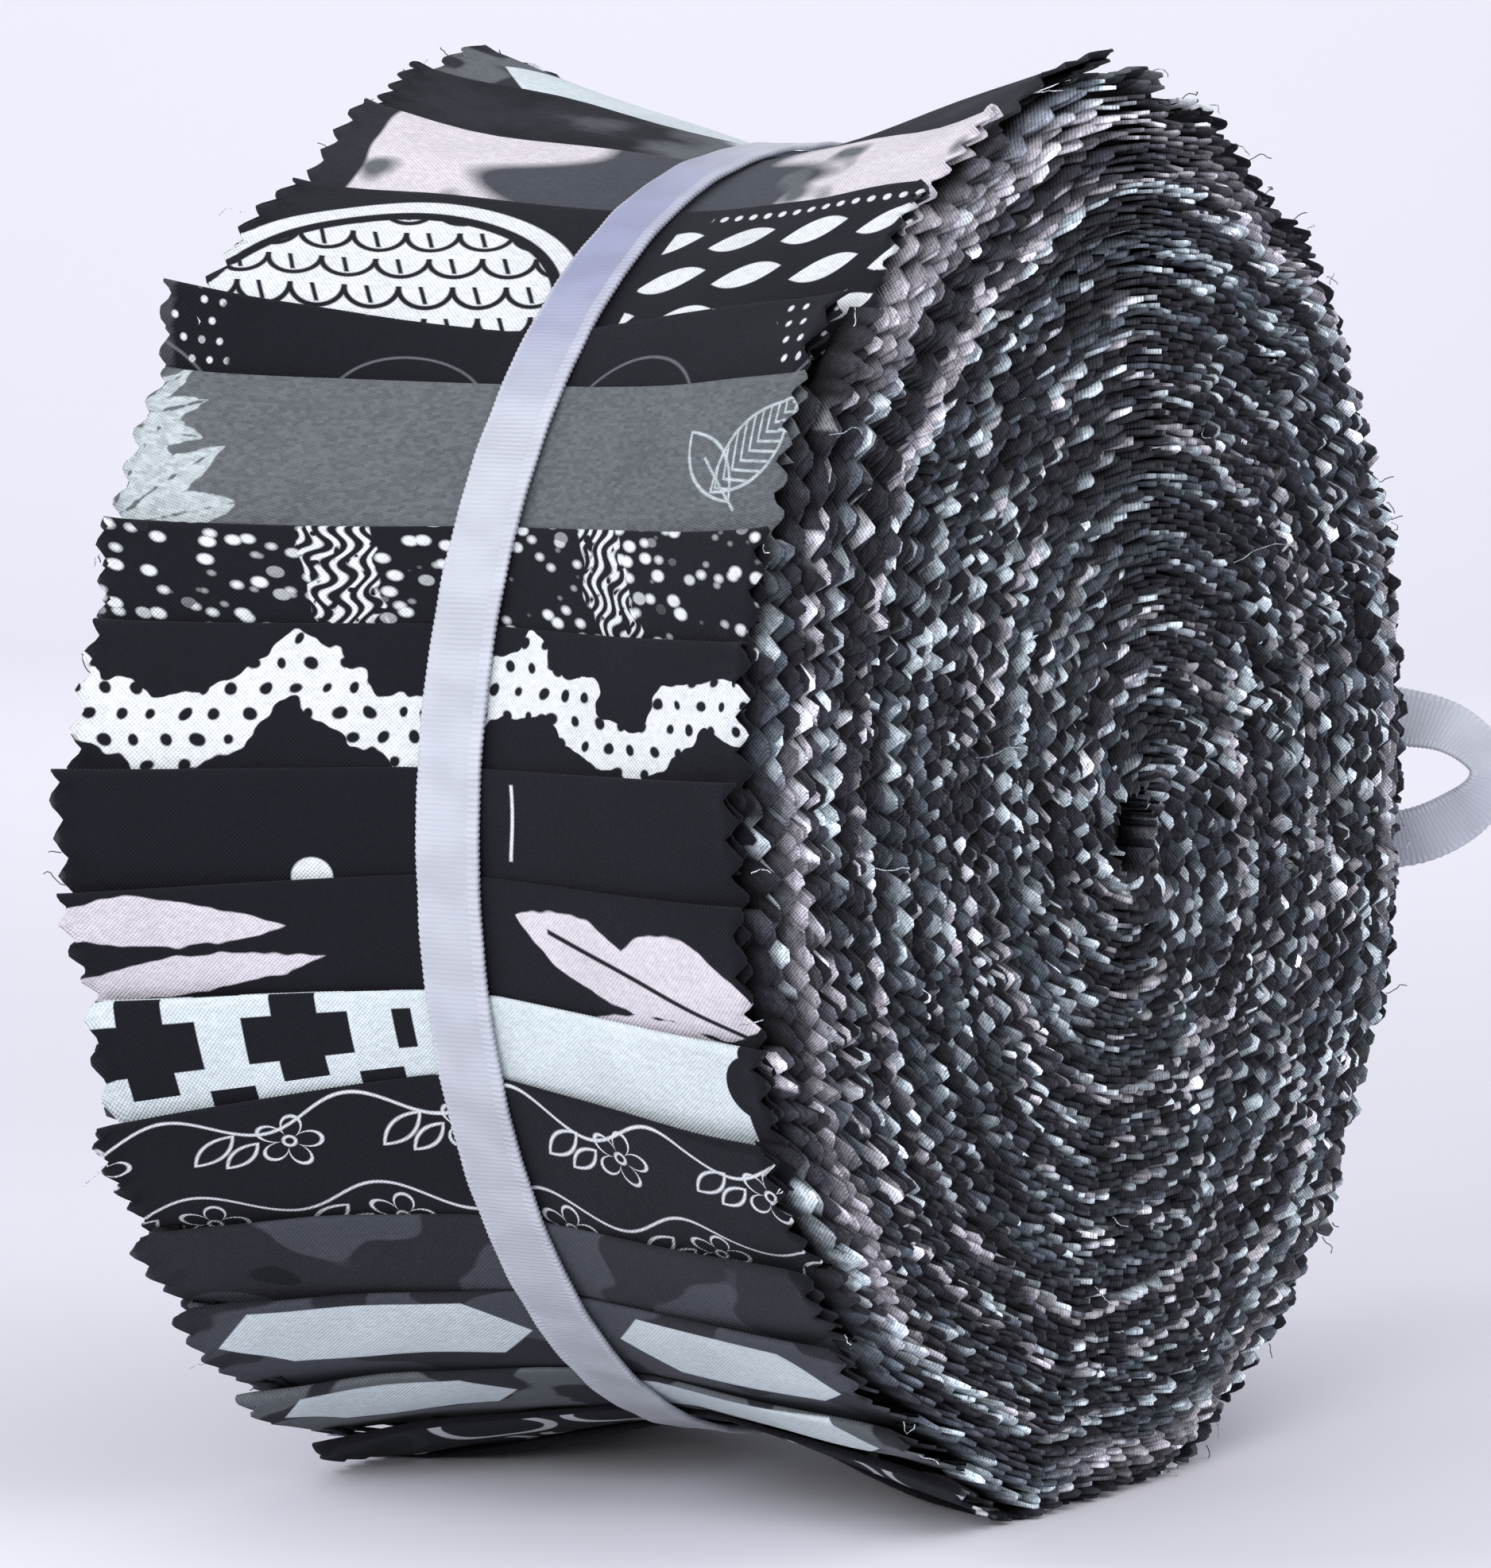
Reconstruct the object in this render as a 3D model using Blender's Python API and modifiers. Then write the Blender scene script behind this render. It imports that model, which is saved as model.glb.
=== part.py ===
"""A roll of pre-cut quilting fabric strips, standing on its rim, tied round the waist with a ribbon and a bow.

Blender 4.5, metres, +Z up. The roll's axis runs along Y and its front end faces -Y.
The strips are folded in half, stacked in steps and wound together, so each strip's folded end
shows on the rim as one band that lies over the band before it. The ribbon draws the middle in,
and the pinked ends flare out on both sides of it.
"""

import math
from collections import namedtuple

import bmesh
import bpy
from mathutils import Matrix, Vector

MM = 0.001

# Driving sizes of the wound strips
STRIP_WIDTH = 63.5 * MM  # strips are cut two and a half inches wide
WAIST_RADIUS = 55.0 * MM  # the rim where the ribbon draws it in
AXIS_HEIGHT = 59.5 * MM  # the roll's own weight flattens the rim below this height
STEP_AT_ENDS = 1.3 * MM  # a folded end stands this far over the band before it
STEP_AT_WAIST = 0.4 * MM
TOOTH_DEPTH = 1.4 * MM  # pinked edge, valley to tip
TEETH_PER_BAND = 3
FOLD_ROUNDING_DEG = 0.6  # the fold's round edge, as an angle on the rim

# Driving sizes of the ends
END_RING_RADIUS = 56.5 * MM  # the circle where the outer bands' teeth stop
TURN_PITCH = 7.6 * MM
TURNS = 7
TURN_RELIEF = 1.1 * MM  # a turn stands this far out of the end, and the groove as far in
END_INSET = 0.9 * MM  # the turns end this far short of the strips' full width
END_DOME = 1.2 * MM  # the turns halfway in stand proud by this much
CORE_DIP = 2.2 * MM
CORE_SHARE = 0.3  # of the ring's radius, where the dip to the core starts
RISE_TURNS = 0.25  # the first turn grows out of the ring over this part of a turn
SPOKES_PER_BAND = 2

# Driving sizes of the ribbon
RIBBON_WIDTH = 6.0 * MM  # quarter inch satin ribbon
RIBBON_THICKNESS = 1.0 * MM
GAP = 0.3 * MM  # between pieces
RIBBON_SEGMENTS = 72
KNOT_SIZE = Vector((5.4, 9.0, 9.0)) * MM
KNOT_ROUNDING = 1.8 * MM
CREASE_DEG = 35  # sharper edges than this stay sharp in the shading

# Rows of the rim from the front end to the back end, as shares of half the width
RIBBON_CLEARANCE = 0.5 * MM  # the waist is a little wider than the ribbon, on each side
RIBBON_EDGE_SHARE = (RIBBON_WIDTH / 2 + RIBBON_CLEARANCE) / (STRIP_WIDTH / 2)
RIM_ROWS = (-1.0, -0.8, -0.45, -RIBBON_EDGE_SHARE, RIBBON_EDGE_SHARE, 0.45, 0.8, 1.0)
FLARE_POWER = 1.1

# Angles are degrees about the axis, from +X towards +Z. Radii are where the fold's corner reaches, in mm.
Fold = namedtuple("Fold", "front_deg back_deg front_radius back_radius")
SEEN_FOLDS = (
    Fold(90.0, 101.0, 64.0, 64.5),
    Fold(110.0, 109.5, 62.5, 62.5),
    Fold(123.0, 121.5, 62.5, 61.5),
    Fold(135.5, 138.0, 62.5, 65.5),
    Fold(145.0, 144.0, 64.5, 61.5),
    Fold(157.0, 158.0, 63.5, 64.0),
    Fold(165.5, 165.5, 63.5, 62.5),
    Fold(175.5, 177.0, 64.0, 66.0),
    Fold(184.5, 186.0, 62.5, 65.5),
    Fold(195.5, 194.5, 61.5, 64.0),
    Fold(203.0, 204.0, 62.5, 66.0),
    Fold(215.5, 214.0, 61.0, 65.0),
    Fold(223.0, 222.0, 62.0, 65.5),
    Fold(235.5, 233.5, 61.0, 64.5),
    Fold(246.0, 244.5, 61.0, 64.0),
)
UNSEEN_FOLDS = 19
UNSEEN_FRONT_RADIUS = 62.4
UNSEEN_BACK_RADIUS = 63.4
UNSEEN_RADIUS_SWAY = 1.3  # how far a fold's corner wanders from its neighbours
UNSEEN_ANGLE_SWAY = 1.1

# The bow's ribbon lines, in mm from the knot's centre: along runs away from the knot beside the roll's
# axis, out away from the roll and up to the top. wide_ is the direction of the ribbon's width there.
Station = namedtuple("Station", "along out up wide_along wide_out wide_up")
LOOP_STATIONS = (
    Station(4.9, 1.5, 0.6, 0.0, 0.0, 1.0),
    Station(11.0, 3.4, 3.0, 0.0, 0.3, 1.0),
    Station(19.0, 6.0, 6.0, 0.1, 0.8, 1.0),
    Station(27.0, 8.6, 7.2, 0.1, 1.0, 0.5),
    Station(33.5, 9.8, 5.2, 0.2, 1.0, 0.2),
    Station(36.6, 10.0, 0.4, 0.2, 1.0, 0.0),
    Station(33.6, 9.6, -4.6, 0.1, 1.0, -0.2),
    Station(26.0, 8.0, -6.6, 0.1, 1.0, -0.6),
    Station(17.0, 4.6, -5.4, 0.0, 0.6, -1.0),
    Station(10.0, 1.4, -3.0, 0.0, 0.2, -1.0),
    Station(4.9, -1.3, -0.8, 0.0, 0.0, -1.0),
)
FRONT_TAIL_STATIONS = (
    Station(2.4, 1.7, -4.9, 1.0, 0.0, 0.0),
    Station(3.6, 3.4, -11.0, 1.0, 0.1, 0.1),
    Station(6.2, 4.6, -20.0, 1.0, 0.3, 0.2),
    Station(9.0, 4.2, -30.0, 1.0, 0.2, 0.2),
    Station(10.6, 5.0, -39.0, 1.0, -0.1, 0.1),
    Station(12.0, 7.2, -46.0, 1.0, -0.2, 0.1),
)
BACK_TAIL_STATIONS = (
    Station(2.4, -0.5, -4.9, 1.0, 0.0, 0.0),
    Station(5.0, 1.0, -10.0, 1.0, -0.1, 0.2),
    Station(10.4, 2.4, -18.0, 1.0, -0.2, 0.4),
    Station(14.6, 2.0, -27.0, 1.0, 0.1, 0.3),
    Station(16.4, 3.2, -36.0, 1.0, 0.3, 0.1),
    Station(16.0, 5.8, -43.0, 1.0, 0.2, 0.0),
)
POINTS_PER_SPAN = 4
TAIL_SLANT = 3.0 * MM  # the free ends are cut on the slant


def clear_scene():
    for leftover in list(bpy.data.objects):
        bpy.data.objects.remove(leftover)


def plain_material(name, colour, roughness):
    material = bpy.data.materials.new(name)
    material.use_nodes = True
    shader = material.node_tree.nodes["Principled BSDF"]
    shader.inputs["Base Color"].default_value = (*colour, 1.0)
    shader.inputs["Roughness"].default_value = roughness
    shader.inputs["Metallic"].default_value = 0.0
    return material


def linked(name, mesh, material, collection, stand):
    piece = bpy.data.objects.new(name, mesh)
    collection.objects.link(piece)
    piece.parent = stand
    mesh.materials.append(material)
    return piece


def blended(low, high, share):
    return low + (high - low) * share


def all_folds():
    """The folds that the front view shows, then evenly spaced ones round the far side."""
    folds = list(SEEN_FOLDS)
    first, last = SEEN_FOLDS[0], SEEN_FOLDS[-1]
    for number in range(1, UNSEEN_FOLDS + 1):
        share = number / (UNSEEN_FOLDS + 1)
        front_sway = math.sin(2.1 * number)
        back_sway = math.sin(1.7 * number + 1)
        folds.append(
            Fold(
                blended(last.front_deg, first.front_deg + 360, share) + UNSEEN_ANGLE_SWAY * front_sway,
                blended(last.back_deg, first.back_deg + 360, share) + UNSEEN_ANGLE_SWAY * back_sway,
                UNSEEN_FRONT_RADIUS + UNSEEN_RADIUS_SWAY * front_sway,
                UNSEEN_BACK_RADIUS + UNSEEN_RADIUS_SWAY * back_sway,
            )
        )
    folds.append(first._replace(front_deg=first.front_deg + 360, back_deg=first.back_deg + 360))
    return folds


def flare(row):
    """How much of the way out to the fold's corner the rim has gone at this row."""
    beyond = max(0.0, abs(row) - RIBBON_EDGE_SHARE) / (1 - RIBBON_EDGE_SHARE)
    return beyond**FLARE_POWER


def fold_line(fold, row):
    """(angle, radius) of a fold's top edge at a row."""
    share = (row + 1) / 2
    corner = blended(fold.front_radius, fold.back_radius, share) * MM
    inner = WAIST_RADIUS + STEP_AT_WAIST
    return blended(fold.front_deg, fold.back_deg, share), blended(inner, corner, flare(row))


def rim_point(fold, following, share, row, tip):
    """A point of one band: share runs from its own fold to the foot of the fold that follows."""
    angle, radius = fold_line(fold, row)
    foot_angle, foot_radius = fold_line(following, row)
    foot_angle -= FOLD_ROUNDING_DEG
    foot_radius -= blended(STEP_AT_WAIST, STEP_AT_ENDS, flare(row))
    turn = math.radians(blended(angle, foot_angle, share))
    reach = blended(radius, foot_radius, share)
    inset = 0.0 if tip or abs(row) < 1 else TOOTH_DEPTH
    width = row * STRIP_WIDTH / 2 - math.copysign(inset, row)
    height = max(reach * math.sin(turn), -AXIS_HEIGHT)
    return Vector((reach * math.cos(turn), width, height))


def rim_columns():
    """(fold, following fold, share, tip) of each column round the rim, with a tooth's tip at every second one."""
    folds = all_folds()
    steps = 2 * TEETH_PER_BAND
    for fold, following in zip(folds, folds[1:]):
        for step in range(steps + 1):
            yield fold, following, step / steps, step % 2 == 1


def stitch(mesh, outer, inner):
    """Triangles between two runs of vertices, which need not have the same number of them."""
    at_outer, at_inner = 0, 0
    while at_outer < len(outer) - 1 or at_inner < len(inner) - 1:
        next_outer = (at_outer + 1) / max(1, len(outer) - 1)
        next_inner = (at_inner + 1) / max(1, len(inner) - 1)
        corners = [outer[at_outer], inner[at_inner]]
        if at_outer < len(outer) - 1 and (next_outer <= next_inner or at_inner == len(inner) - 1):
            at_outer += 1
            corners.append(outer[at_outer])
        else:
            at_inner += 1
            corners.append(inner[at_inner])
        if len(set(corners)) == 3:
            mesh.faces.new(corners)


def end_height(radius):
    """How far the end stands from the roll's middle at this radius, without the turns' relief."""
    share = radius / END_RING_RADIUS
    dome = END_DOME * math.sin(math.pi * share)
    dip = CORE_DIP * max(0.0, 1 - share / CORE_SHARE) ** 2
    return STRIP_WIDTH / 2 - END_INSET + dome - dip


def end_face(mesh, rim_edge, side, start_deg):
    """One end: the outer bands' ring, then the coarse turns as one spiral ridge with a groove beside it."""
    spokes = SPOKES_PER_BAND * (len(SEEN_FOLDS) + UNSEEN_FOLDS)

    def vertex(spoke, inwards, relief):
        turn = math.radians(start_deg + 360 * spoke / spokes)
        radius = END_RING_RADIUS - inwards
        height = side * (end_height(radius) + relief)
        return mesh.verts.new((radius * math.cos(turn), height, radius * math.sin(turn)))

    ring = [vertex(spoke, 0.0, 0.0) for spoke in range(spokes)]
    ring.append(ring[0])
    stitch(mesh, rim_edge, ring)
    ridge = [ring[0]]
    for spoke in range(1, TURNS * spokes + 1):
        rise = min(1.0, spoke / spokes / RISE_TURNS)
        ridge.append(vertex(spoke, TURN_PITCH * spoke / spokes, TURN_RELIEF * rise))
    groove = []
    for spoke in range((TURNS - 1) * spokes + 1):
        groove.append(vertex(spoke, TURN_PITCH * (spoke / spokes + 0.5), -TURN_RELIEF))
    for spoke in range(spokes - 1):
        stitch(mesh, ring[spoke : spoke + 2], ridge[spoke : spoke + 2])
    mesh.faces.new([ring[spokes - 1], ring[0], groove[0], ridge[spokes], ridge[spokes - 1]])
    for spoke in range(len(groove) - 1):
        stitch(mesh, ridge[spoke : spoke + 2], groove[spoke : spoke + 2])
        within = spoke + spokes
        stitch(mesh, groove[spoke : spoke + 2], ridge[within : within + 2])
    core = mesh.verts.new((0.0, side * (end_height(0.0) - TURN_RELIEF), 0.0))
    last_turn = ridge[(TURNS - 1) * spokes :] + [groove[-1], ridge[(TURNS - 1) * spokes]]
    for here, there in zip(last_turn, last_turn[1:]):
        mesh.faces.new([core, here, there])


def wound_strips(material, collection, stand):
    """All the strips as one solid: the rim's overlapping bands, the waist, the pinked edges and the two ends."""
    mesh = bmesh.new()
    rows = [[] for _ in RIM_ROWS]
    for fold, following, share, tip in rim_columns():
        for line, row in zip(rows, RIM_ROWS):
            line.append(mesh.verts.new(rim_point(fold, following, share, row, tip)))
    for line in rows:
        line.append(line[0])
    for line, beside in zip(rows, rows[1:]):
        for column in range(len(line) - 1):
            stitch(mesh, line[column : column + 2], beside[column : column + 2])
    end_face(mesh, rows[0], -1, SEEN_FOLDS[0].front_deg)
    end_face(mesh, rows[-1], 1, SEEN_FOLDS[0].back_deg)
    bmesh.ops.recalc_face_normals(mesh, faces=mesh.faces[:])
    data = bpy.data.meshes.new("wound_strips")
    mesh.to_mesh(data)
    mesh.free()
    data.shade_smooth()
    data.set_sharp_from_angle(angle=math.radians(CREASE_DEG))
    return linked("wound_strips", data, material, collection, stand)


def ribbon_inner_radius():
    return WAIST_RADIUS + STEP_AT_WAIST + GAP


def ribbon_band(material, collection, stand):
    """The stretch of ribbon that goes round the waist: a flat section turned about the axis."""
    inner = ribbon_inner_radius()
    outer = inner + RIBBON_THICKNESS
    half = RIBBON_WIDTH / 2
    section = [(outer, half), (outer, -half), (inner, -half), (inner, half)]
    data = bpy.data.meshes.new("ribbon_band")
    edges = [(corner, (corner + 1) % len(section)) for corner in range(len(section))]
    data.from_pydata([(radius, width, 0.0) for radius, width in section], edges, [])
    band = linked("ribbon_band", data, material, collection, stand)
    screw = band.modifiers.new("turned", "SCREW")
    screw.axis = "Y"
    screw.steps = screw.render_steps = RIBBON_SEGMENTS
    screw.use_merge_vertices = True
    screw.merge_threshold = 0.00001
    screw.use_smooth_shade = False
    return band


def knot_centre():
    outside = ribbon_inner_radius() + RIBBON_THICKNESS + GAP
    return Vector((outside + KNOT_SIZE.x / 2, 0.0, 0.0))


def ribbon_knot(material, collection, stand):
    """The wrapped lump at the middle of the bow."""
    bpy.ops.mesh.primitive_cube_add(size=1.0)
    knot = bpy.context.object
    knot.name = "ribbon_knot"
    for other in list(knot.users_collection):
        other.objects.unlink(knot)
    collection.objects.link(knot)
    knot.data.transform(Matrix.Diagonal((*KNOT_SIZE, 1.0)))
    knot.data.materials.append(material)
    knot.data.shade_smooth()
    knot.parent = stand
    knot.location = knot_centre()
    bevel = knot.modifiers.new("soft_corners", "BEVEL")
    bevel.width = KNOT_ROUNDING
    bevel.segments = 3
    return knot


def smooth_stations(stations):
    """Rows on a smooth curve through the stations, POINTS_PER_SPAN to each span."""
    rows = [Vector(station) for station in stations]
    rows = [2 * rows[0] - rows[1], *rows, 2 * rows[-1] - rows[-2]]
    for before, here, there, after in zip(rows, rows[1:], rows[2:], rows[3:]):
        for point in range(POINTS_PER_SPAN):
            u = point / POINTS_PER_SPAN
            bend = 2 * before - 5 * here + 4 * there - after
            twist = 3 * here - before - 3 * there + after
            yield here + ((there - before) * u + bend * u**2 + twist * u**3) / 2
    yield rows[-2]


def ribbon_length(name, stations, side, slant, material, collection, stand):
    """A length of ribbon along the stations: an open surface, made a sheet by Solidify."""
    line = []
    for along, out, up, wide_along, wide_out, wide_up in smooth_stations(stations):
        place = knot_centre() + Vector((out, side * along, up)) * MM
        line.append((place, Vector((wide_out, side * wide_along, wide_up))))
    mesh = bmesh.new()
    pairs = []
    last = len(line) - 1
    for number, (place, width) in enumerate(line):
        ahead = (line[min(number + 1, last)][0] - line[max(number - 1, 0)][0]).normalized()
        if 0 < number < last:
            width = width - width.project(ahead)
        half = width.normalized() * RIBBON_WIDTH / 2
        cut = ahead * slant / 2 if number == last else Vector()
        pairs.append((mesh.verts.new(place - half - cut), mesh.verts.new(place + half + cut)))
    for (low, high), (next_low, next_high) in zip(pairs, pairs[1:]):
        mesh.faces.new((low, next_low, next_high, high))
    data = bpy.data.meshes.new(name)
    mesh.to_mesh(data)
    mesh.free()
    data.shade_smooth()
    sheet = linked(name, data, material, collection, stand)
    solidify = sheet.modifiers.new("sheet", "SOLIDIFY")
    solidify.thickness = RIBBON_THICKNESS
    solidify.offset = 0.0
    return sheet


def stand_on_origin(collection, stand):
    """The origin goes to the middle of the whole thing's foot, at the height of the flat spot."""
    graph = bpy.context.evaluated_depsgraph_get()
    corners = []
    for piece in collection.objects:
        if piece.type == "MESH":
            evaluated = piece.evaluated_get(graph)
            corners += [evaluated.matrix_world @ Vector(corner) for corner in evaluated.bound_box]
    low, high = (Vector(map(pick, zip(*corners))) for pick in (min, max))
    middle = (low + high) / 2
    stand.location = (-middle.x, -middle.y, -low.z)


def main():
    clear_scene()
    collection = bpy.data.collections.new("fabric_strip_roll")
    bpy.context.scene.collection.children.link(collection)
    cotton = plain_material("printed_cotton", (0.09, 0.09, 0.1), 0.85)
    satin = plain_material("satin_ribbon", (0.86, 0.87, 0.9), 0.35)
    stand = bpy.data.objects.new("roll_axis", None)
    collection.objects.link(stand)
    wound_strips(cotton, collection, stand)
    ribbon_band(satin, collection, stand)
    ribbon_knot(satin, collection, stand)
    lengths = (
        ("bow_loop_front", LOOP_STATIONS, -1, 0.0),
        ("bow_loop_back", LOOP_STATIONS, 1, 0.0),
        ("ribbon_tail_front", FRONT_TAIL_STATIONS, -1, TAIL_SLANT),
        ("ribbon_tail_back", BACK_TAIL_STATIONS, 1, TAIL_SLANT),
    )
    for name, stations, side, slant in lengths:
        ribbon_length(name, stations, side, slant, satin, collection, stand)
    stand_on_origin(collection, stand)


main()
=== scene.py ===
# %% [markdown]
# # A roll of quilting strips, tied with a ribbon
#
# Quilters buy cotton as a roll of narrow strips, all cut to one width with pinking shears. The strips
# are folded in half, stacked in steps and wound up together, and a satin ribbon holds the roll.
# This lesson dresses a plain solid model of such a roll: every strip end, every turn and the bow
# get their own mesh, and every cloth gets a woven, printed finish made from nodes.

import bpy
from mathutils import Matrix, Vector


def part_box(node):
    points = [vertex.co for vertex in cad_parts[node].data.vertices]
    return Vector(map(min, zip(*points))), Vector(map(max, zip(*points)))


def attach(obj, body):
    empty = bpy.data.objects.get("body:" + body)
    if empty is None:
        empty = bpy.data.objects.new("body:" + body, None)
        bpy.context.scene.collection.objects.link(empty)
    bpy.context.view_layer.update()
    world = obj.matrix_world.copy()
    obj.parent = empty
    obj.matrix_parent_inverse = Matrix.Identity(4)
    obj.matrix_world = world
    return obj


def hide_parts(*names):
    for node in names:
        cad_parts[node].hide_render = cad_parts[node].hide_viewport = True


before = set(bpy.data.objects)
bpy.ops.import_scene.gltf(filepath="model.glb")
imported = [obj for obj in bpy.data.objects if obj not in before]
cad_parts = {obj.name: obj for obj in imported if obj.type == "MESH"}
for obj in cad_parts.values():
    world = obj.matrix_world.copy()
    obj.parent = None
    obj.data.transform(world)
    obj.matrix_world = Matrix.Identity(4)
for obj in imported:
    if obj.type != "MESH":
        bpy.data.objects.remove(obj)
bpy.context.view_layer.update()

# %% [markdown]
# ## Where the roll is
#
# All pieces are built around the roll's axis. The ribbon's band is a true circle round that axis, so
# the middle of its box is the middle of the roll. Lengths below are in millimetres, since cloth is
# thought of that way, and one helper turns them into Blender's metres.

# %% The roll's middle and its main sizes
import math
from collections import namedtuple

import bpy
import numpy as np
from mathutils import Matrix, Vector

MM = 0.001
band_low, band_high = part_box("ribbon_band")
roll_middle = (band_low + band_high) / 2
HALF_WIDTH = 63.5 / 2  # strips are cut two and a half inches wide
AXIS_HEIGHT = roll_middle.z / MM
WAIST_RADIUS = (band_high.z - band_low.z) / 2 / MM - 1.3  # the cloth under the ribbon
RIBBON_WIDTH = (band_high.y - band_low.y) / MM
print(f"axis {AXIS_HEIGHT:.1f} mm up, waist radius {WAIST_RADIUS:.1f} mm, ribbon {RIBBON_WIDTH:.1f} mm wide")

# %% [markdown]
# ## Camera, floor and light
#
# The roll stands on a pale table. A long lens from the roll's left front sees the rim and, at a
# slant, the wound end. The lens is shifted a little, as the picture frames the roll off its centre.
# Large soft lamps on the left and above light the ribbon and leave the wound end in gentle shade.

# %% Camera
VIEW_AZIMUTH = math.radians(-60.84)
VIEW_ELEVATION = math.radians(4.11)
VIEW_ROLL = math.radians(0.67)
VIEW_DISTANCE = 0.6
FRAME_HEIGHT_PX = 1973
LENS_PX = 8634
OFF_CENTRE_PX = (48.5, 5.5)

back = Vector(
    (
        math.sin(VIEW_AZIMUTH) * math.cos(VIEW_ELEVATION),
        -math.cos(VIEW_AZIMUTH) * math.cos(VIEW_ELEVATION),
        math.sin(VIEW_ELEVATION),
    )
)
right = Vector((math.cos(VIEW_AZIMUTH), math.sin(VIEW_AZIMUTH), 0.0))
up = back.cross(right)
turned_right = right * math.cos(VIEW_ROLL) + up * math.sin(VIEW_ROLL)
turned_up = up * math.cos(VIEW_ROLL) - right * math.sin(VIEW_ROLL)

camera_data = bpy.data.cameras.new("camera")
camera_data.sensor_width = 36.0
camera_data.lens = LENS_PX / FRAME_HEIGHT_PX * camera_data.sensor_width
camera_data.shift_x = -OFF_CENTRE_PX[0] / FRAME_HEIGHT_PX
camera_data.shift_y = OFF_CENTRE_PX[1] / FRAME_HEIGHT_PX
camera_data.clip_start = 0.05
camera = bpy.data.objects.new("camera", camera_data)
axes = Matrix((turned_right, turned_up, back)).transposed().to_4x4()
camera.matrix_world = Matrix.Translation(roll_middle + back * VIEW_DISTANCE) @ axes
bpy.context.scene.collection.objects.link(camera)
bpy.context.scene.camera = camera
print(f"lens {camera_data.lens:.0f} mm")

# %% Floor and lamps
scene = bpy.context.scene
scene.view_settings.view_transform = "Standard"


def plain_material(name, colour, roughness):
    material = bpy.data.materials.new(name)
    material.use_nodes = True
    shader = material.node_tree.nodes["Principled BSDF"]
    shader.inputs["Base Color"].default_value = (*colour, 1.0)
    shader.inputs["Roughness"].default_value = roughness
    return material


def backdrop(front=1.5, behind=1.3, rise=0.9, bend=0.6, half_width=3.0):
    """A table top that curves up into a wall behind the roll, so that no horizon shows."""
    turn = [math.radians(9 * step) for step in range(11)]
    profile = [(-front, 0.0)]
    profile += [(behind + bend * math.sin(angle), bend - bend * math.cos(angle)) for angle in turn]
    profile.append((behind + bend, bend + rise))
    away = -Vector((back.x, back.y, 0.0)).normalized()
    sideways = Vector((-away.y, away.x, 0.0))
    rows = [
        [away * far + sideways * side + Vector((0, 0, high)) for far, high in profile]
        for side in (-half_width, half_width)
    ]
    data = bpy.data.meshes.new("backdrop")
    count = len(profile)
    faces = [(k, count + k, count + k + 1, k + 1) for k in range(count - 1)]
    data.from_pydata(rows[0] + rows[1], [], faces)
    data.shade_smooth()
    stand = bpy.data.objects.new("backdrop", data)
    scene.collection.objects.link(stand)
    return stand


PALE_TABLE = (0.78, 0.775, 0.83)
floor = backdrop()
floor.data.materials.append(plain_material("pale_table", PALE_TABLE, 0.7))

world = bpy.data.worlds.new("studio")
scene.world = world
world.use_nodes = True
SKY = (0.86, 0.855, 0.93, 1.0)
SKY_STRENGTH = 0.72
background = world.node_tree.nodes["Background"]
background.inputs["Color"].default_value = SKY
background.inputs["Strength"].default_value = SKY_STRENGTH

Lamp = namedtuple("Lamp", "name place size watts colour")
LAMPS = (
    Lamp("window_left", (-0.85, -0.05, 0.35), 0.6, 5.0, (0.97, 0.98, 1.0)),
    Lamp("window_behind", (-0.62, 0.5, 0.72), 0.3, 2.2, (0.98, 0.98, 1.0)),
    Lamp("softbox_top", (-0.1, -0.45, 0.9), 0.6, 2.0, (1.0, 0.99, 0.98)),
    Lamp("fill_front", (0.1, -0.9, 0.3), 0.7, 2.3, (0.93, 0.96, 1.0)),
    Lamp("wall_light", (0.5, 0.4, 1.1), 0.8, 8.0, (1.0, 1.0, 1.0)),
)
for lamp in LAMPS:
    light = bpy.data.lights.new(lamp.name, "AREA")
    light.size = lamp.size
    light.energy = lamp.watts
    light.color = lamp.colour
    holder = bpy.data.objects.new(lamp.name, light)
    holder.location = lamp.place
    target = Vector((1.8, 1.0, 0.6)) if lamp.name == "wall_light" else roll_middle
    aim = target - Vector(lamp.place)
    holder.rotation_euler = aim.to_track_quat("-Z", "Y").to_euler()
    scene.collection.objects.link(holder)
print(len(LAMPS), "lamps and the sky light the table")

# %% [markdown]
# ## The folds round the rim
#
# Each strip's folded end shows on the rim as a band that lies over the band before it. A fold line
# runs from the front end of the roll to its back end, not quite level, and it reaches further out
# at the ends than at the waist, where the ribbon draws the folds in and turns them a little. The table
# gives each fold's angle about the axis at both ends, counted from the bow's side up over the top, its
# turn at the waist, how far its corners reach, how high it stands over the cloth before it, and how far
# the strip lies aside. The far side has the same kind of folds with a little sway, from a formula.

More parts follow.
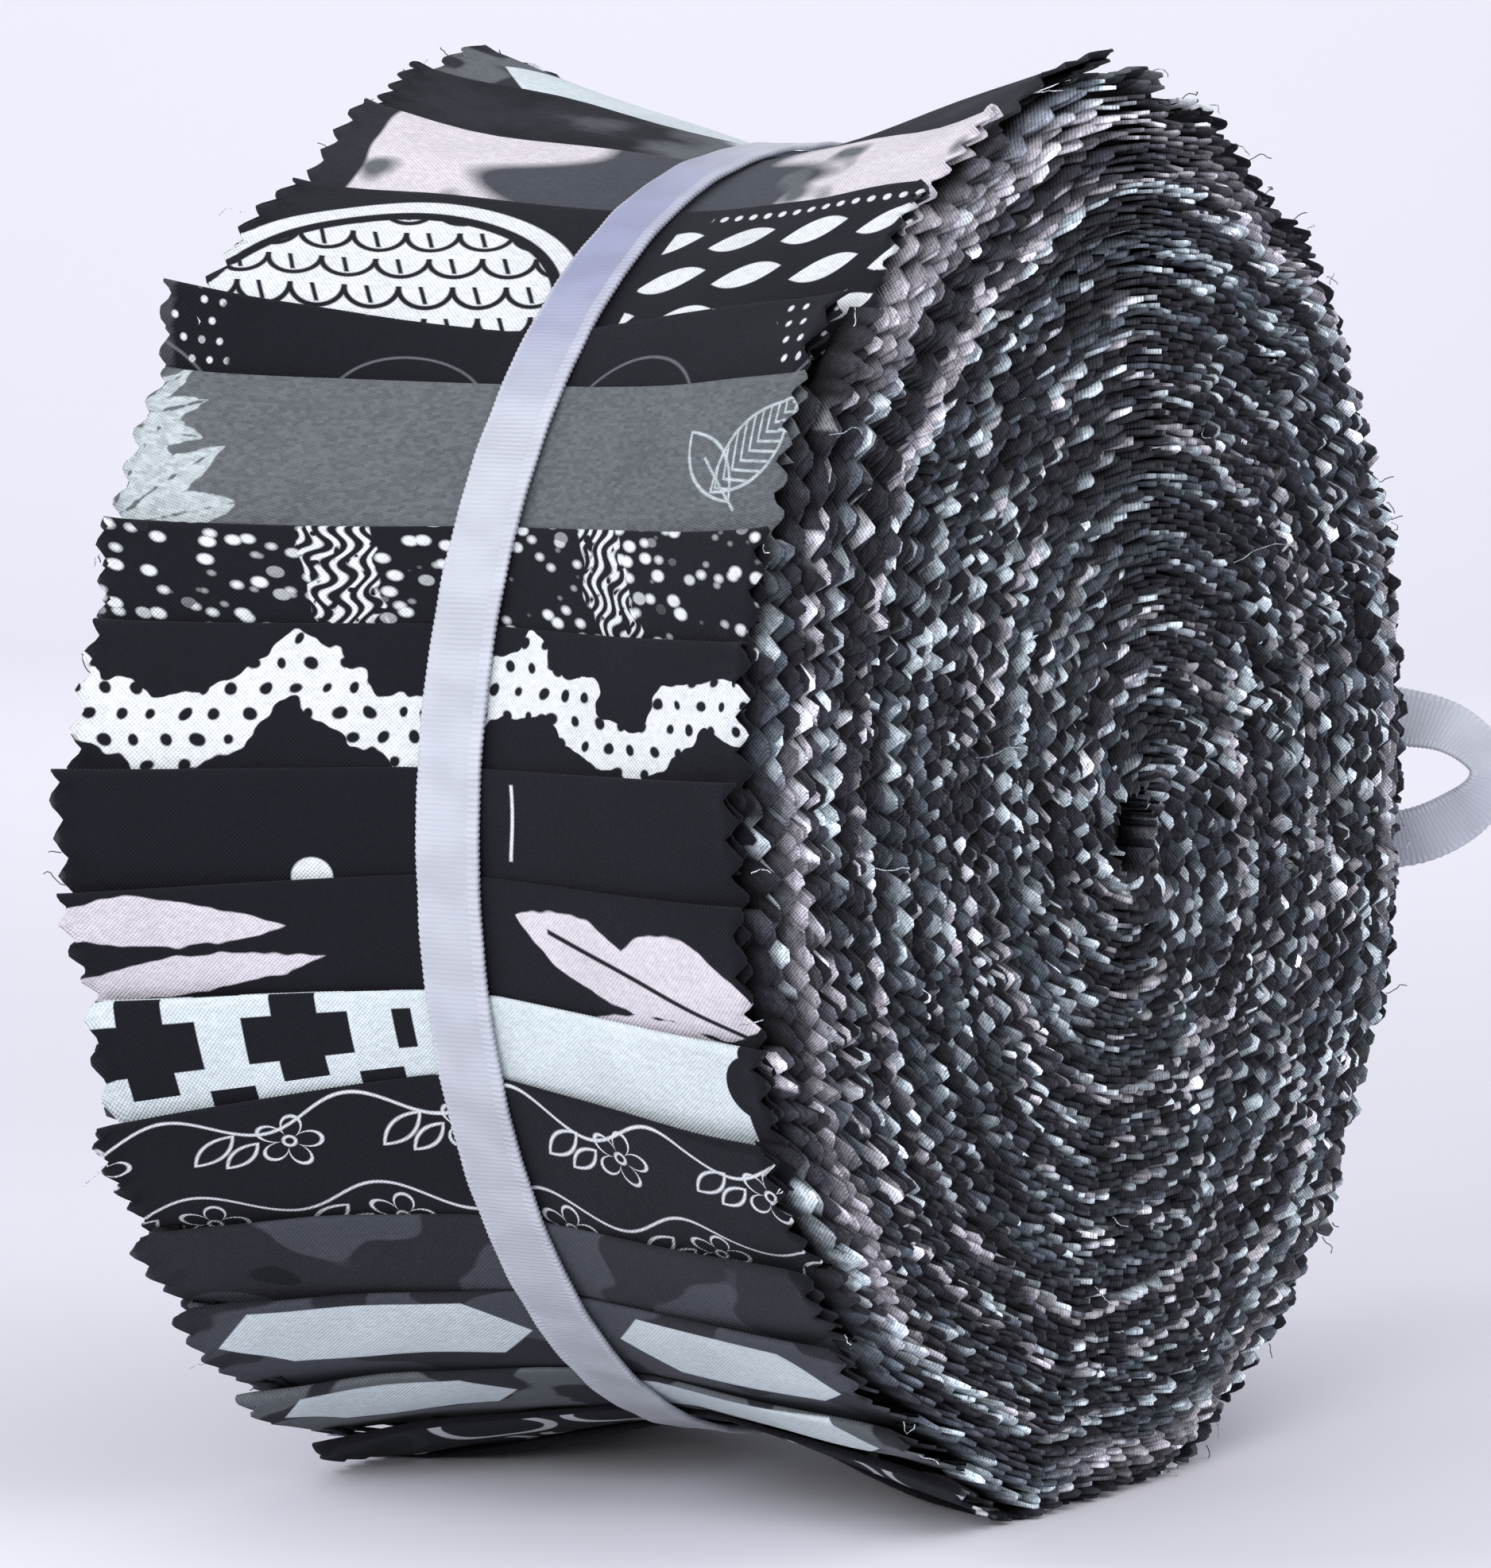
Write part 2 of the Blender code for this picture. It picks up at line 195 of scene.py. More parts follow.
# %% The folds
Fold = namedtuple("Fold", "cloth front_deg back_deg waist_turn front_radius back_radius stand aside")
SEEN_FOLDS = (
    Fold("smoky", 90.0, 101.0, -8.0, 64.0, 64.5, 1.7, 0.0),
    Fold("clouds", 110.0, 109.5, -8.0, 62.5, 62.5, 1.9, -0.3),
    Fold("scales", 123.0, 121.5, -6.0, 62.5, 61.5, 1.7, -0.6),
    Fold("sprinkled", 135.5, 138.0, -2.5, 62.5, 65.5, 2.2, 1.5),
    Fold("frosted", 145.0, 144.0, -4.0, 64.5, 62.0, 1.7, 0.2),
    Fold("speckled", 157.0, 158.0, -3.0, 63.5, 64.0, 1.9, 0.4),
    Fold("spotted", 165.5, 165.5, -2.3, 63.5, 62.5, 1.6, 0.0),
    Fold("moons", 175.5, 177.0, -1.0, 64.0, 66.0, 2.1, 0.6),
    Fold("petals", 184.5, 186.0, -1.0, 62.5, 65.5, 1.8, 0.2),
    Fold("steps", 195.5, 194.5, -0.7, 61.5, 64.0, 1.9, -0.2),
    Fold("vines", 203.0, 204.0, -1.5, 62.5, 66.0, 2.2, 0.3),
    Fold("dusk", 215.5, 214.0, 2.0, 61.0, 65.0, 2.2, 0.5),
    Fold("facets", 223.0, 222.0, 4.0, 62.0, 65.5, 2.2, 0.2),
    Fold("patches", 235.5, 233.5, 5.5, 61.0, 64.5, 2.2, 0.0),
    Fold("arcs", 246.0, 244.5, 5.8, 61.0, 64.0, 2.0, -0.4),
)
UNSEEN_FOLDS = 19
CLOTHS = [fold.cloth for fold in SEEN_FOLDS]


def blended(low, high, share):
    return low + (high - low) * share


def all_folds():
    folds = list(SEEN_FOLDS)
    first, last = folds[0], folds[-1]
    for number in range(1, UNSEEN_FOLDS + 1):
        share = number / (UNSEEN_FOLDS + 1)
        front_sway = math.sin(2.1 * number)
        back_sway = math.sin(1.7 * number + 1)
        folds.append(
            Fold(
                CLOTHS[7 * number % len(CLOTHS)],
                blended(last.front_deg, first.front_deg + 360, share) + 1.1 * front_sway,
                blended(last.back_deg, first.back_deg + 360, share) + 1.1 * back_sway,
                blended(last.waist_turn, first.waist_turn, share),
                62.4 + 1.3 * front_sway,
                63.4 + 1.3 * back_sway,
                1.9,
                0.4 * math.sin(3.3 * number),
            )
        )
    return folds


FOLDS = all_folds()
STRIPS = len(FOLDS)
print(STRIPS, "folded strips in the roll")

# %% [markdown]
# ## Mesh helpers
#
# Cloth that is wound is easiest to describe with an angle about the axis, a radius and a place
# along the axis. One helper turns those into points of the model and presses flat what would go
# through the table. Another one turns a grid of points into a mesh with a cloth map in millimetres,
# so that weaves and prints keep their real size.

# %% Points round the axis
FLOOR_SOFTNESS = 0.9  # the cloth bends over this height where the roll's weight flattens it


def roll_points(radius, angle, along, centre_x=0.0, centre_z=0.0):
    """Points in metres from radius, angle in radians and the place along the axis, in millimetres."""
    x = centre_x + radius * np.cos(angle)
    z = centre_z + radius * np.sin(angle)
    free = -AXIS_HEIGHT + FLOOR_SOFTNESS
    pressed = -AXIS_HEIGHT + FLOOR_SOFTNESS * np.exp(np.minimum(z - free, 0.0) / FLOOR_SOFTNESS)
    z = np.where(z < free, pressed, z)
    points = np.stack(np.broadcast_arrays(x, along, z), axis=-1) * MM
    return points + np.array(roll_middle)


def wander(place, seed, waves=6):
    """A smooth, repeatable wandering between about -1 and 1. A wave is about as long as 2 pi."""
    dice = np.random.default_rng(seed)
    total = 0.0
    for _ in range(waves):
        total = total + np.sin(place * dice.uniform(0.45, 1.7) + dice.uniform(0.0, 2 * math.pi))
    return total / math.sqrt(waves)


# %% Grids into meshes
def mesh_from(name, points, faces, cloth_map=None, tones=None, smooth=True):
    """A mesh object of quads. cloth_map and tones give each point's map place and its colour."""
    points = np.asarray(points, np.float32).reshape(-1, 3)
    faces = np.asarray(faces, np.int32).reshape(-1, 4)
    data = bpy.data.meshes.new(name)
    data.vertices.add(len(points))
    data.vertices.foreach_set("co", points.ravel())
    data.loops.add(faces.size)
    data.loops.foreach_set("vertex_index", faces.ravel())
    data.polygons.add(len(faces))
    data.polygons.foreach_set("loop_start", np.arange(0, faces.size, 4, dtype=np.int32))
    data.update(calc_edges=True)
    if cloth_map is not None:
        layer = data.uv_layers.new(name="cloth_map")
        layer.data.foreach_set("uv", np.asarray(cloth_map, np.float32).reshape(-1, 2)[faces.ravel()].ravel())
    if tones is not None:
        layer = data.color_attributes.new("tone", "FLOAT_COLOR", "POINT")
        tones = np.asarray(tones, np.float32).reshape(-1, 3)
        with_alpha = np.column_stack([tones, np.ones(len(tones))])
        layer.data.foreach_set("color", with_alpha.astype(np.float32).ravel())
    if smooth:
        data.shade_smooth()
    piece = bpy.data.objects.new(name, data)
    scene.collection.objects.link(piece)
    return piece


def grid_faces(rows, columns, start=0, closed=False):
    """Quads between the points of a grid, row after row. A closed grid joins its last row to its first."""
    numbers = np.arange(rows * columns, dtype=np.int32).reshape(rows, columns) + start
    if closed:
        numbers = np.vstack([numbers, numbers[:1]])
    corners = (numbers[:-1, :-1], numbers[:-1, 1:], numbers[1:, 1:], numbers[1:, :-1])
    return np.stack(corners, axis=-1).reshape(-1, 4)


# %% [markdown]
# ## Pinked edges
#
# Pinking shears cut a zigzag so that cotton doesn't fray far. A tooth here is about three
# millimetres from tip to tip and half as deep, with its tips worn a little blunt.

# %% A pinked edge
TOOTH_PITCH = 2.9
TOOTH_DEPTH = 1.4
TIP_BLUNTNESS = 1.15


def pinked(place, phase=0.0):
    """How far into a tooth the edge is at this place along it: 0 in a valley and 1 on a tip."""
    share = np.mod(place / TOOTH_PITCH + phase, 1.0)
    return np.minimum(1.0, TIP_BLUNTNESS * (1.0 - np.abs(2.0 * share - 1.0)))


# %% [markdown]
# ## The bands on the rim
#
# A band is the last stretch of a strip: its inner layer comes out from under the cloth, turns at
# the fold and runs back as the outer layer, until it goes in under the next band. Each one is an
# open sheet on a grid, made thick with Solidify. It is lofted, because the ribbon draws the
# middle in while both ends flare out, and no standard shape does that.

# %% The rim's radius
WAIST_HALF = RIBBON_WIDTH / 2 + 0.5
FLARE_POWER = 1.1
PAIR_AT_WAIST, PAIR_AT_ENDS = 0.42, 1.0  # a folded strip's thickness
STEP_AT_WAIST = 0.5  # how far a fold stands over the band before it, under the ribbon


def flare(across):
    """0 under the ribbon, 1 at the strip's pinked edges."""
    beyond = np.maximum(0.0, np.abs(across) - WAIST_HALF) / (HALF_WIDTH - WAIST_HALF)
    return beyond**FLARE_POWER


def fold_angle(number, across):
    fold = FOLDS[number % STRIPS]
    share = (across / HALF_WIDTH + 1) / 2
    turn = fold.waist_turn * (1.0 - flare(across)) ** 1.5
    return np.radians(blended(fold.front_deg, fold.back_deg, share) + turn + 360 * (number // STRIPS))


def fold_radius(number, across):
    fold = FOLDS[number % STRIPS]
    share = (across / HALF_WIDTH + 1) / 2
    corner = blended(fold.front_radius, fold.back_radius, share)
    return blended(WAIST_RADIUS + 0.2, corner, flare(across))


def band_surface(number, angle, across):
    """Radius of a band's outside at this angle, before any waves. It sinks from its fold to the next one."""
    start, end = fold_angle(number, across), fold_angle(number + 1, across)
    stand = FOLDS[(number + 1) % STRIPS].stand
    foot = fold_radius(number + 1, across) - blended(STEP_AT_WAIST, stand, flare(across))
    return blended(fold_radius(number, across), foot, (angle - start) / (end - start))


def rim_wave(angle, across):
    """Soft waves that run through all the layers near the rim together, in millimetres."""
    long_waves = 0.3 * wander(11.0 * angle + 0.12 * across, 41)
    short_waves = 0.16 * wander(26.0 * angle - 0.2 * across, 42)
    return long_waves + short_waves


# %% One band's sheet
INNER_LAYER = 7.0  # how far the sheet runs back under itself
TUCKED_LAYER = 5.0  # how far it runs on under the next fold
ROW_SPACING = TOOTH_PITCH / 6
CLOTH_THICKNESS = 0.24
ACROSS_SHARES = (
    0.0, 0.06, 0.1, 0.115, 0.16, 0.22, 0.3, 0.38, 0.46, 0.54, 0.62, 0.7, 0.78, 0.85, 0.9, 0.945, 1.0,
)


def across_columns():
    half = np.array(ACROSS_SHARES) * HALF_WIDTH
    return np.concatenate([-half[:0:-1], half])


def band_sheet(number):
    """Angle, radius and place along the axis of a band's grid, with its map and the length of its path."""
    across = across_columns()[None, :]
    start, end = fold_angle(number, across), fold_angle(number + 1, across)
    own = fold_radius(number, across)
    span = float(np.mean((end - start) * own))
    pair = blended(PAIR_AT_WAIST, PAIR_AT_ENDS, flare(across))
    outer_rows = np.arange(0.0, span + TUCKED_LAYER, ROW_SPACING)[:, None]
    share = outer_rows / span
    outer_angle = blended(start, end, share)
    small_wave = 0.07 * wander(0.35 * across - 0.3 * outer_rows, 90 + number)
    wrinkle = flare(across) * (rim_wave(outer_angle, across) + small_wave)
    wrinkle = wrinkle + 0.03 * wander(0.3 * across + 0.2 * outer_rows, 190 + number)
    puff = 0.3 * flare(across) * np.sin(np.pi * np.clip(share, 0.0, 1.0))
    outer = band_surface(number, outer_angle, across)
    under_next = band_surface(number + 1, outer_angle, across) - pair - 0.2
    outer = np.where(share > 1.0, np.minimum(outer, under_next), outer) + wrinkle + puff
    inner_rows = np.arange(INNER_LAYER, 0.0, -ROW_SPACING)[:, None]
    inner_angle = start + inner_rows / own
    inner = band_surface(number, inner_angle, across) - pair + flare(across) * rim_wave(inner_angle, across)
    turn = np.radians(np.array([-90.0, -55.0, -20.0, 20.0, 55.0]))[:, None]
    nose = own + wrinkle[0] - pair / 2 + pair / 2 * np.sin(turn)
    nose_angle = start - pair / 2 * np.cos(turn) / own
    radius = np.vstack([inner, nose, outer])
    angle = np.vstack([inner_angle, nose_angle, outer_angle])
    path = np.concatenate([-inner_rows[:, 0] - 1.0, np.linspace(-1.0, -0.2, len(turn)), outer_rows[:, 0]])
    return angle, radius, np.broadcast_to(across, radius.shape).copy(), path


def make_band(number):
    angle, radius, across, path = band_sheet(number)
    dice = np.random.default_rng(700 + number)
    across *= 1.0 - 0.012 * flare(across)  # a flared strip reaches less far along the axis
    across += FOLDS[number].aside
    for column, side in ((0, -1.0), (-1, 1.0)):
        depth = 1.0 - pinked(path, dice.random())
        ragged = 0.07 * dice.standard_normal(len(path))
        across[:, column] -= side * (TOOTH_DEPTH * depth + ragged)
    # a later strip of the same cloth lies the other way round
    way_round = -1.0 if number >= len(SEEN_FOLDS) else 1.0
    cloth_map = np.stack([across * way_round, np.broadcast_to(path[:, None], across.shape)], axis=-1)
    name = f"strip_end_{number + 1:02d}"
    faces = grid_faces(*across.shape)
    piece = mesh_from(name, roll_points(radius, angle, across), faces, cloth_map)
    solidify = piece.modifiers.new("cloth", "SOLIDIFY")
    solidify.thickness = CLOTH_THICKNESS * MM
    solidify.offset = -1.0
    return piece, float(path[-1] - path[0])


bands = [make_band(number) for number in range(STRIPS)]
print(len(bands), "bands,", sum(len(piece.data.polygons) for piece, _ in bands), "quads before thickness")

# %% [markdown]
# ## The wound ends
#
# At each end of the roll the pinked edges of all the strips stand side by side as a spiral. Every
# strip starts under its fold on the rim and works inwards by about twenty millimetres a turn, as
# thirty-four strips are wound together. The mesh follows each strip's edge only a few millimetres
# deep, as no eye or lamp reaches further in. The turns lie tight near the core and looser under the
# rim, where the folds fan out, and there both layers of a strip show.

# %% How the turns run
LAYERS_TO_CORE = 101
CORE_PLACE = (5.5, -2.8)  # the winding ends a little to the side of the rim's middle
OUTER_LAYERS = 14.0
TRACE_START = 0.98  # a strip's edge runs on as a turn where the next fold covers it


ALL_NUMBERS = range(STRIPS + LAYERS_TO_CORE + 2)
def at_both_ends(measure):
    """A measure of all the folds at the front end (-1) and at the back end (1)."""
    return {
        side: np.array([measure(number, side * HALF_WIDTH) for number in ALL_NUMBERS])
        for side in (-1, 1)
    }


END_ANGLES = at_both_ends(fold_angle)
END_RADII = at_both_ends(fold_radius)


def depth_under_rim(layer):
    return 0.53 * layer + 8.2 * (1.0 - np.exp(-layer / 7.0))


def trace_points(strip, layer, side, step_down=0.0):
    """Radius, angle and middle of one strip's edge, for layers counted from the rim."""
    before = np.floor(strip + layer).astype(int)
    share = strip + layer - before
    angle = blended(END_ANGLES[side][before], END_ANGLES[side][before + 1], share)
    rim = blended(END_RADII[side][before], END_RADII[side][before + 1], share)
    under = depth_under_rim(layer)
    rim = blended(rim, 62.8, np.clip(under / 45.0, 0.0, 1.0))
    radius = rim - 0.75 - under - step_down
    radius = radius + 0.55 * wander(0.1 * layer + 1.9 * np.sin(angle), 5) * np.clip(under / 12, 0, 1)
    radius = radius + rim_wave(angle, side * HALF_WIDTH) * np.exp(-under / 9)
    reach = np.clip(1.0 - radius / 62.0, 0.0, 1.0)
    return np.maximum(radius, 0.9), angle, CORE_PLACE[0] * reach, CORE_PLACE[1] * reach


def end_dome(radius):
    """How far the strip edges stand out along the axis at this radius, in millimetres."""
    chamfer = 2.3 * (1.0 - np.exp(-np.maximum(63.0 - radius, 0.0) / 5.5))
    return chamfer - 0.3 - 1.6 * np.exp(-((radius / 9.0) ** 2))


# %% Cloth colours of the turns
TONES = {
    "black": (0.012, 0.012, 0.017),
    "charcoal": (0.03, 0.031, 0.04),
    "slate": (0.055, 0.066, 0.08),
    "mint": (0.4, 0.46, 0.49),
    "rose": (0.35, 0.33, 0.36),
    "white": (0.62, 0.64, 0.68),
}
CLOTH_TONES = {
    "smoky": ("black", "charcoal", 0.3),
    "clouds": ("rose", "charcoal", 0.55),
    "scales": ("black", "white", 0.3),
    "sprinkled": ("black", "charcoal", 0.2),
    "frosted": ("slate", "mint", 0.3),
    "speckled": ("black", "slate", 0.3),
    "spotted": ("black", "mint", 0.3),
    "moons": ("black", "charcoal", 0.2),
    "petals": ("charcoal", "rose", 0.4),
    "steps": ("mint", "black", 0.35),
    "vines": ("black", "slate", 0.25),
    "dusk": ("charcoal", "slate", 0.5),
    "facets": ("slate", "mint", 0.3),
    "patches": ("slate", "mint", 0.5),
    "arcs": ("black", "white", 0.2),
}


def tones_along(cloth, path, seed):
    """The print's colour along a strip's edge: its ground, with its motifs here and there."""
    ground, motif, amount = CLOTH_TONES[cloth]
    pattern = wander(path / 2.3, seed) + 0.6 * wander(path / 9.0, seed + 1)
    share = np.clip((pattern - (0.9 - 1.8 * amount)) * 2.5, 0.0, 1.0)[:, None]
    shade = (1.0 + 0.18 * wander(path / 5.0, seed + 2))[:, None]
    return blended(np.array(TONES[ground]), np.array(TONES[motif]), share) * shade


# %% Toothed edges of the turns
EDGE_DEPTH = 2.2
TOOTH_MARKS = np.array([0.0, 0.4, 0.62])  # valley, and the two corners of the blunt tip


def edge_of_turns(strip, first_layer, last_layer, side, thickness, step_down, pitch, seed):
    """Points, map and tones of one strip's toothed edge, as a closed ribbon of cloth."""
    dice = np.random.default_rng(seed)
    fine = np.linspace(first_layer, last_layer, 900)
    radius, _, _, _ = trace_points(strip, fine, side, step_down)
    steps = 0.5 * (radius[1:] + radius[:-1]) * np.diff(fine) * 2 * math.pi / STRIPS
    lengths = np.concatenate([[0.0], np.cumsum(steps)])
    teeth = int(lengths[-1] / pitch)
    marks = (np.arange(teeth)[:, None] + TOOTH_MARKS[None, :]).ravel() * pitch
    marks = marks + dice.uniform(-0.2, 0.2, len(marks)) + 0.5 * wander(marks / 11.0, seed + 7)
    layer = np.interp(marks, lengths, fine)
    radius, angle, centre_x, centre_z = trace_points(strip, layer, side, step_down)
    height = np.tile([0.0, 1.0, 1.0], teeth) * pitch * 0.5 * dice.uniform(0.6, 1.15, teeth).repeat(3)
    height = height * dice.uniform(0.88, 1.0, len(marks))
    lean = np.tile([0.0, 1.0, 1.0], teeth) * dice.normal(0.06, 0.2, teeth).repeat(3)
    shift = 0.22 * wander(marks / 16.0, seed + 3) + 0.14 * dice.standard_normal()
    shift = shift + 0.25 * wander(0.75 * layer + 0.8 * np.sin(angle), 77)
    level = HALF_WIDTH - TOOTH_DEPTH + end_dome(radius) + shift
    foot = level - EDGE_DEPTH
    top = level + height
    radii = (
        radius + thickness / 2,
        radius + thickness / 2 + lean,
        radius - thickness / 2 + lean,
        radius - thickness / 2,
    )
    reaches = (foot, top, top, foot)
    grid = [roll_points(r, angle, side * reach, centre_x, centre_z) for r, reach in zip(radii, reaches)]
    points = np.stack(grid)
    cloth_map = np.stack([np.stack([marks, reach], axis=-1) for reach in reaches])
    # Painted light and shade: each tooth's tone differs at random, and the outer turns are painted up to half
    # again as light, as less of the roll shades them. Along a tooth the valley is painted darker and the tip
    # lighter, where the tips catch the light, and the foot deep between the turns is painted nearly black as
    # shade. The tips also get a little pale fuzz from their frayed threads.
    tooth_tone_and_painted_light = dice.lognormal(0.08, 0.34, teeth).repeat(3) * (1.0 + 0.5 * np.exp(-layer / 9.0))
    painted_tip_light_and_valley_shade = np.tile([0.35, 1.3, 1.3], teeth) * tooth_tone_and_painted_light
    painted_edge_light_and_shade = np.stack([np.full(len(marks), 0.12), painted_tip_light_and_valley_shade, painted_tip_light_and_valley_shade, np.full(len(marks), 0.12)])
    fluff = np.stack([0.0 * marks, np.tile([0.0, 0.012, 0.012], teeth)])[[0, 1, 1, 0]]
    tones = tones_along(FOLDS[strip].cloth, marks, seed)
    ring_place = 3.8 + 0.9 * wander(2 * angle, 9)
    patchy = np.clip(0.5 + 0.6 * wander(5 * angle, 8), 0.0, 0.85)
    rose_ring = np.exp(-(((layer - ring_place) / 0.9) ** 2)) * patchy
    tones = blended(tones, np.array(TONES["rose"]), rose_ring[:, None])
    tones = tones[None] * painted_edge_light_and_shade[..., None] + fluff[..., None]
    return points, cloth_map, tones


def wound_end(name, side):
    points, maps, tones, faces = [], [], [], []
    count = 0
    runs = []
    for strip in range(STRIPS):
        runs.append((strip, TRACE_START, OUTER_LAYERS, 0.3, 0.0, 3.2))
        runs.append((strip, TRACE_START, OUTER_LAYERS, 0.3, 0.5, 3.2))
        runs.append((strip, OUTER_LAYERS, LAYERS_TO_CORE, 0.42, 0.1, 2.7))
    for number, (strip, first, last, thickness, down, pitch) in enumerate(runs):
        seed = 2000 + 10 * number + (5 if side > 0 else 0)
        run_points, run_map, run_tones = edge_of_turns(strip, first, last, side, thickness, down, pitch, seed)
        points.append(run_points.reshape(-1, 3))
        maps.append(run_map.reshape(-1, 2))
        tones.append(run_tones.reshape(-1, 3))
        faces.append(grid_faces(*run_points.shape[:2], start=count, closed=True))
        count += run_points.shape[0] * run_points.shape[1]
    piece = mesh_from(
        name, np.vstack(points), np.vstack(faces), np.vstack(maps), np.vstack(tones), smooth=False
    )
    return piece


front_end = wound_end("wound_end_front", -1)
back_end = wound_end("wound_end_back", 1)
print("teeth quads at each end:", len(front_end.data.polygons))

# %% [markdown]
# ## What lies behind the teeth
#
# A dark drum just under the bands and behind the teeth closes the small gaps between the turns, as
# the rest of the strips do in the real roll. Its near black colour is painted shade, as little light reaches
# that far in.

# %% The roll's inside
def inner_drum():
    rows = 97
    across = np.array([-0.9, -0.6, -0.2, 0.2, 0.6, 0.9]) * HALF_WIDTH
    angle = np.linspace(0.0, 2 * math.pi, rows)[:-1, None]
    radius = WAIST_RADIUS - 2.6 + 4.6 * flare(across)[None, :] + 0.0 * angle
    points = roll_points(radius, angle, across[None, :])
    numbers = np.arange(angle.size * len(across)).reshape(angle.size, len(across))
    wrapped = np.vstack([numbers, numbers[:1]])
    sides = np.stack((wrapped[:-1, :-1], wrapped[:-1, 1:], wrapped[1:, 1:], wrapped[1:, :-1]), axis=-1)
    ends = []
    hubs = []
    for column, end in ((0, -1.0), (-1, 1.0)):
        hub = numbers.size + len(hubs)
        hubs.append(roll_points(np.array(0.0), np.array(0.0), end * 0.9 * HALF_WIDTH))
        ring = wrapped[:, column]
        for first in range(0, rows - 1, 2):
            trio = [ring[first], ring[first + 1], ring[min(first + 2, rows - 1)], hub]
            ends.append(trio if end < 0 else trio[::-1])
    all_points = np.vstack([points.reshape(-1, 3), np.stack(hubs)])
    return mesh_from("roll_inside", all_points, np.vstack([sides.reshape(-1, 4), np.array(ends)]))


drum = inner_drum()
print(len(drum.data.polygons), "faces close the gaps between the turns")

# %% [markdown]
# ## The ribbon round the waist
#
# The ribbon is a quarter inch satin with a firm selvedge on both sides, whose weft makes a row of
# tiny loops. It is a closed ring on a grid: thin in the middle, a little thicker at the selvedges.

# %% Ribbon round the roll
RIBBON_THICKNESS = 0.34
SELVEDGE = 0.7
RIBBON_SHARES = np.array([-1.0, -0.93, -0.84, -0.74, -0.4, 0.0, 0.4, 0.74, 0.84, 0.93, 1.0])
SELVEDGE_LIFT = np.array([0.02, 0.1, 0.1, 0.0, 0.02, 0.03, 0.02, 0.0, 0.1, 0.1, 0.02])
PICOT_PITCH = 0.52


def ribbon_ring():
    radius = WAIST_RADIUS + 0.75
    rows = int(2 * math.pi * radius / PICOT_PITCH) * 3
    angle = np.arange(rows)[:, None] * 2 * math.pi / rows
    path = angle * radius
    picot = 0.07 * np.cos(2 * math.pi * path / PICOT_PITCH)
    across = RIBBON_SHARES[None, :] * (RIBBON_WIDTH / 2 - 0.08)
    across = across + picot * np.sign(across) * (np.abs(RIBBON_SHARES) > 0.99)
    low_sway = 1.1 * np.exp(-(((np.degrees(angle) - 255) / 25) ** 2))
    high_sway = 1.4 * np.exp(-(((np.degrees(angle) - 90) / 13) ** 2))
    across = across - 0.35 + low_sway - high_sway
    lift = SELVEDGE_LIFT[None, :] + 0.05 * np.sin(angle * 34 + 1.5 * RIBBON_SHARES[None, :])
    lift = lift + 0.035 * np.sin(angle * 61 + 2.0 * RIBBON_SHARES[None, :])
    outer = roll_points(radius + lift, angle, across)
    inner = roll_points(radius - RIBBON_THICKNESS + 0.5 * lift, angle, across)[:, ::-1]
    points = np.concatenate([outer, inner], axis=1)
    both_ways = np.concatenate([across, across[:, ::-1]], axis=1)
    cloth_map = np.stack(np.broadcast_arrays(both_ways, path), axis=-1)
    columns = points.shape[1]
    numbers = np.arange(rows * columns).reshape(rows, columns)
    numbers = np.vstack([numbers, numbers[:1]])
    numbers = np.hstack([numbers, numbers[:, :1]])
    faces = np.stack((numbers[:-1, :-1], numbers[:-1, 1:], numbers[1:, 1:], numbers[1:, :-1]), axis=-1)
    return mesh_from("ribbon_round_waist", points, faces.reshape(-1, 4), cloth_map)


ribbon = ribbon_ring()
print(len(ribbon.data.polygons), "faces in the ribbon round the waist")

# %% [markdown]
# ## The bow
#
# The bow sits on the roll's far side: a wrapped knot, two loops and two slanting ends. Each loop and
# end is the same flat ribbon, lofted along a given course. A station gives the ribbon's middle and
# the way its width points. Measures are from the knot's middle: along the roll's axis, outwards and up.

# %% Courses of the loops and ends
Station = namedtuple("Station", "along out up wide_along wide_out wide_up")
LOOP_COURSE = (
    Station(4.9, 1.5, 0.6, 0, 0, 1),
    Station(11, 3.4, 2.8, 0, 0.2, 1),
    Station(19, 6.2, 4.8, 0, 0.35, 1),
    Station(27, 8.8, 4.2, 0, 0.45, 0.9),
    Station(33, 10, 3.0, 0.1, 0.75, 0.65),
    Station(36.6, 10.4, -0.4, 0.2, 0.95, 0.2),
    Station(34.5, 9.8, -4.6, 0.35, 0.75, -0.55),
    Station(28, 8, -7.4, 0.2, 0.5, -0.85),
    Station(18, 4.8, -6.2, 0, 0.4, -1),
    Station(10, 1.4, -3.2, 0, 0.2, -1),
    Station(4.9, -1.3, -0.8, 0, 0, -1),
)
FRONT_END_COURSE = (
    Station(2.4, 1.7, -4.9, 1, 0, 0),
    Station(3.6, 3.4, -11, 1, 0.1, 0.1),
    Station(6.2, 4.6, -20, 1, 0.3, 0.2),
    Station(9, 4.2, -30, 1, 0.2, 0.2),
    Station(10.6, 5, -39, 1, -0.1, 0.1),
    Station(12, 7.2, -46, 1, -0.2, 0.1),
)
BACK_END_COURSE = (
    Station(2.4, -0.5, -4.9, 1, 0, 0),
    Station(5, 1, -10, 1, -0.1, 0.2),
    Station(10.4, 2.4, -18, 1, -0.2, 0.4),
    Station(14.6, 2, -27, 1, 0.1, 0.3),
    Station(16.4, 3.2, -36, 1, 0.3, 0.1),
    Station(16, 5.8, -43, 1, 0.2, 0),
)
KNOT_OUT = 59.7
knot_middle = roll_middle + Vector((KNOT_OUT * MM, 0.0, 0.0))


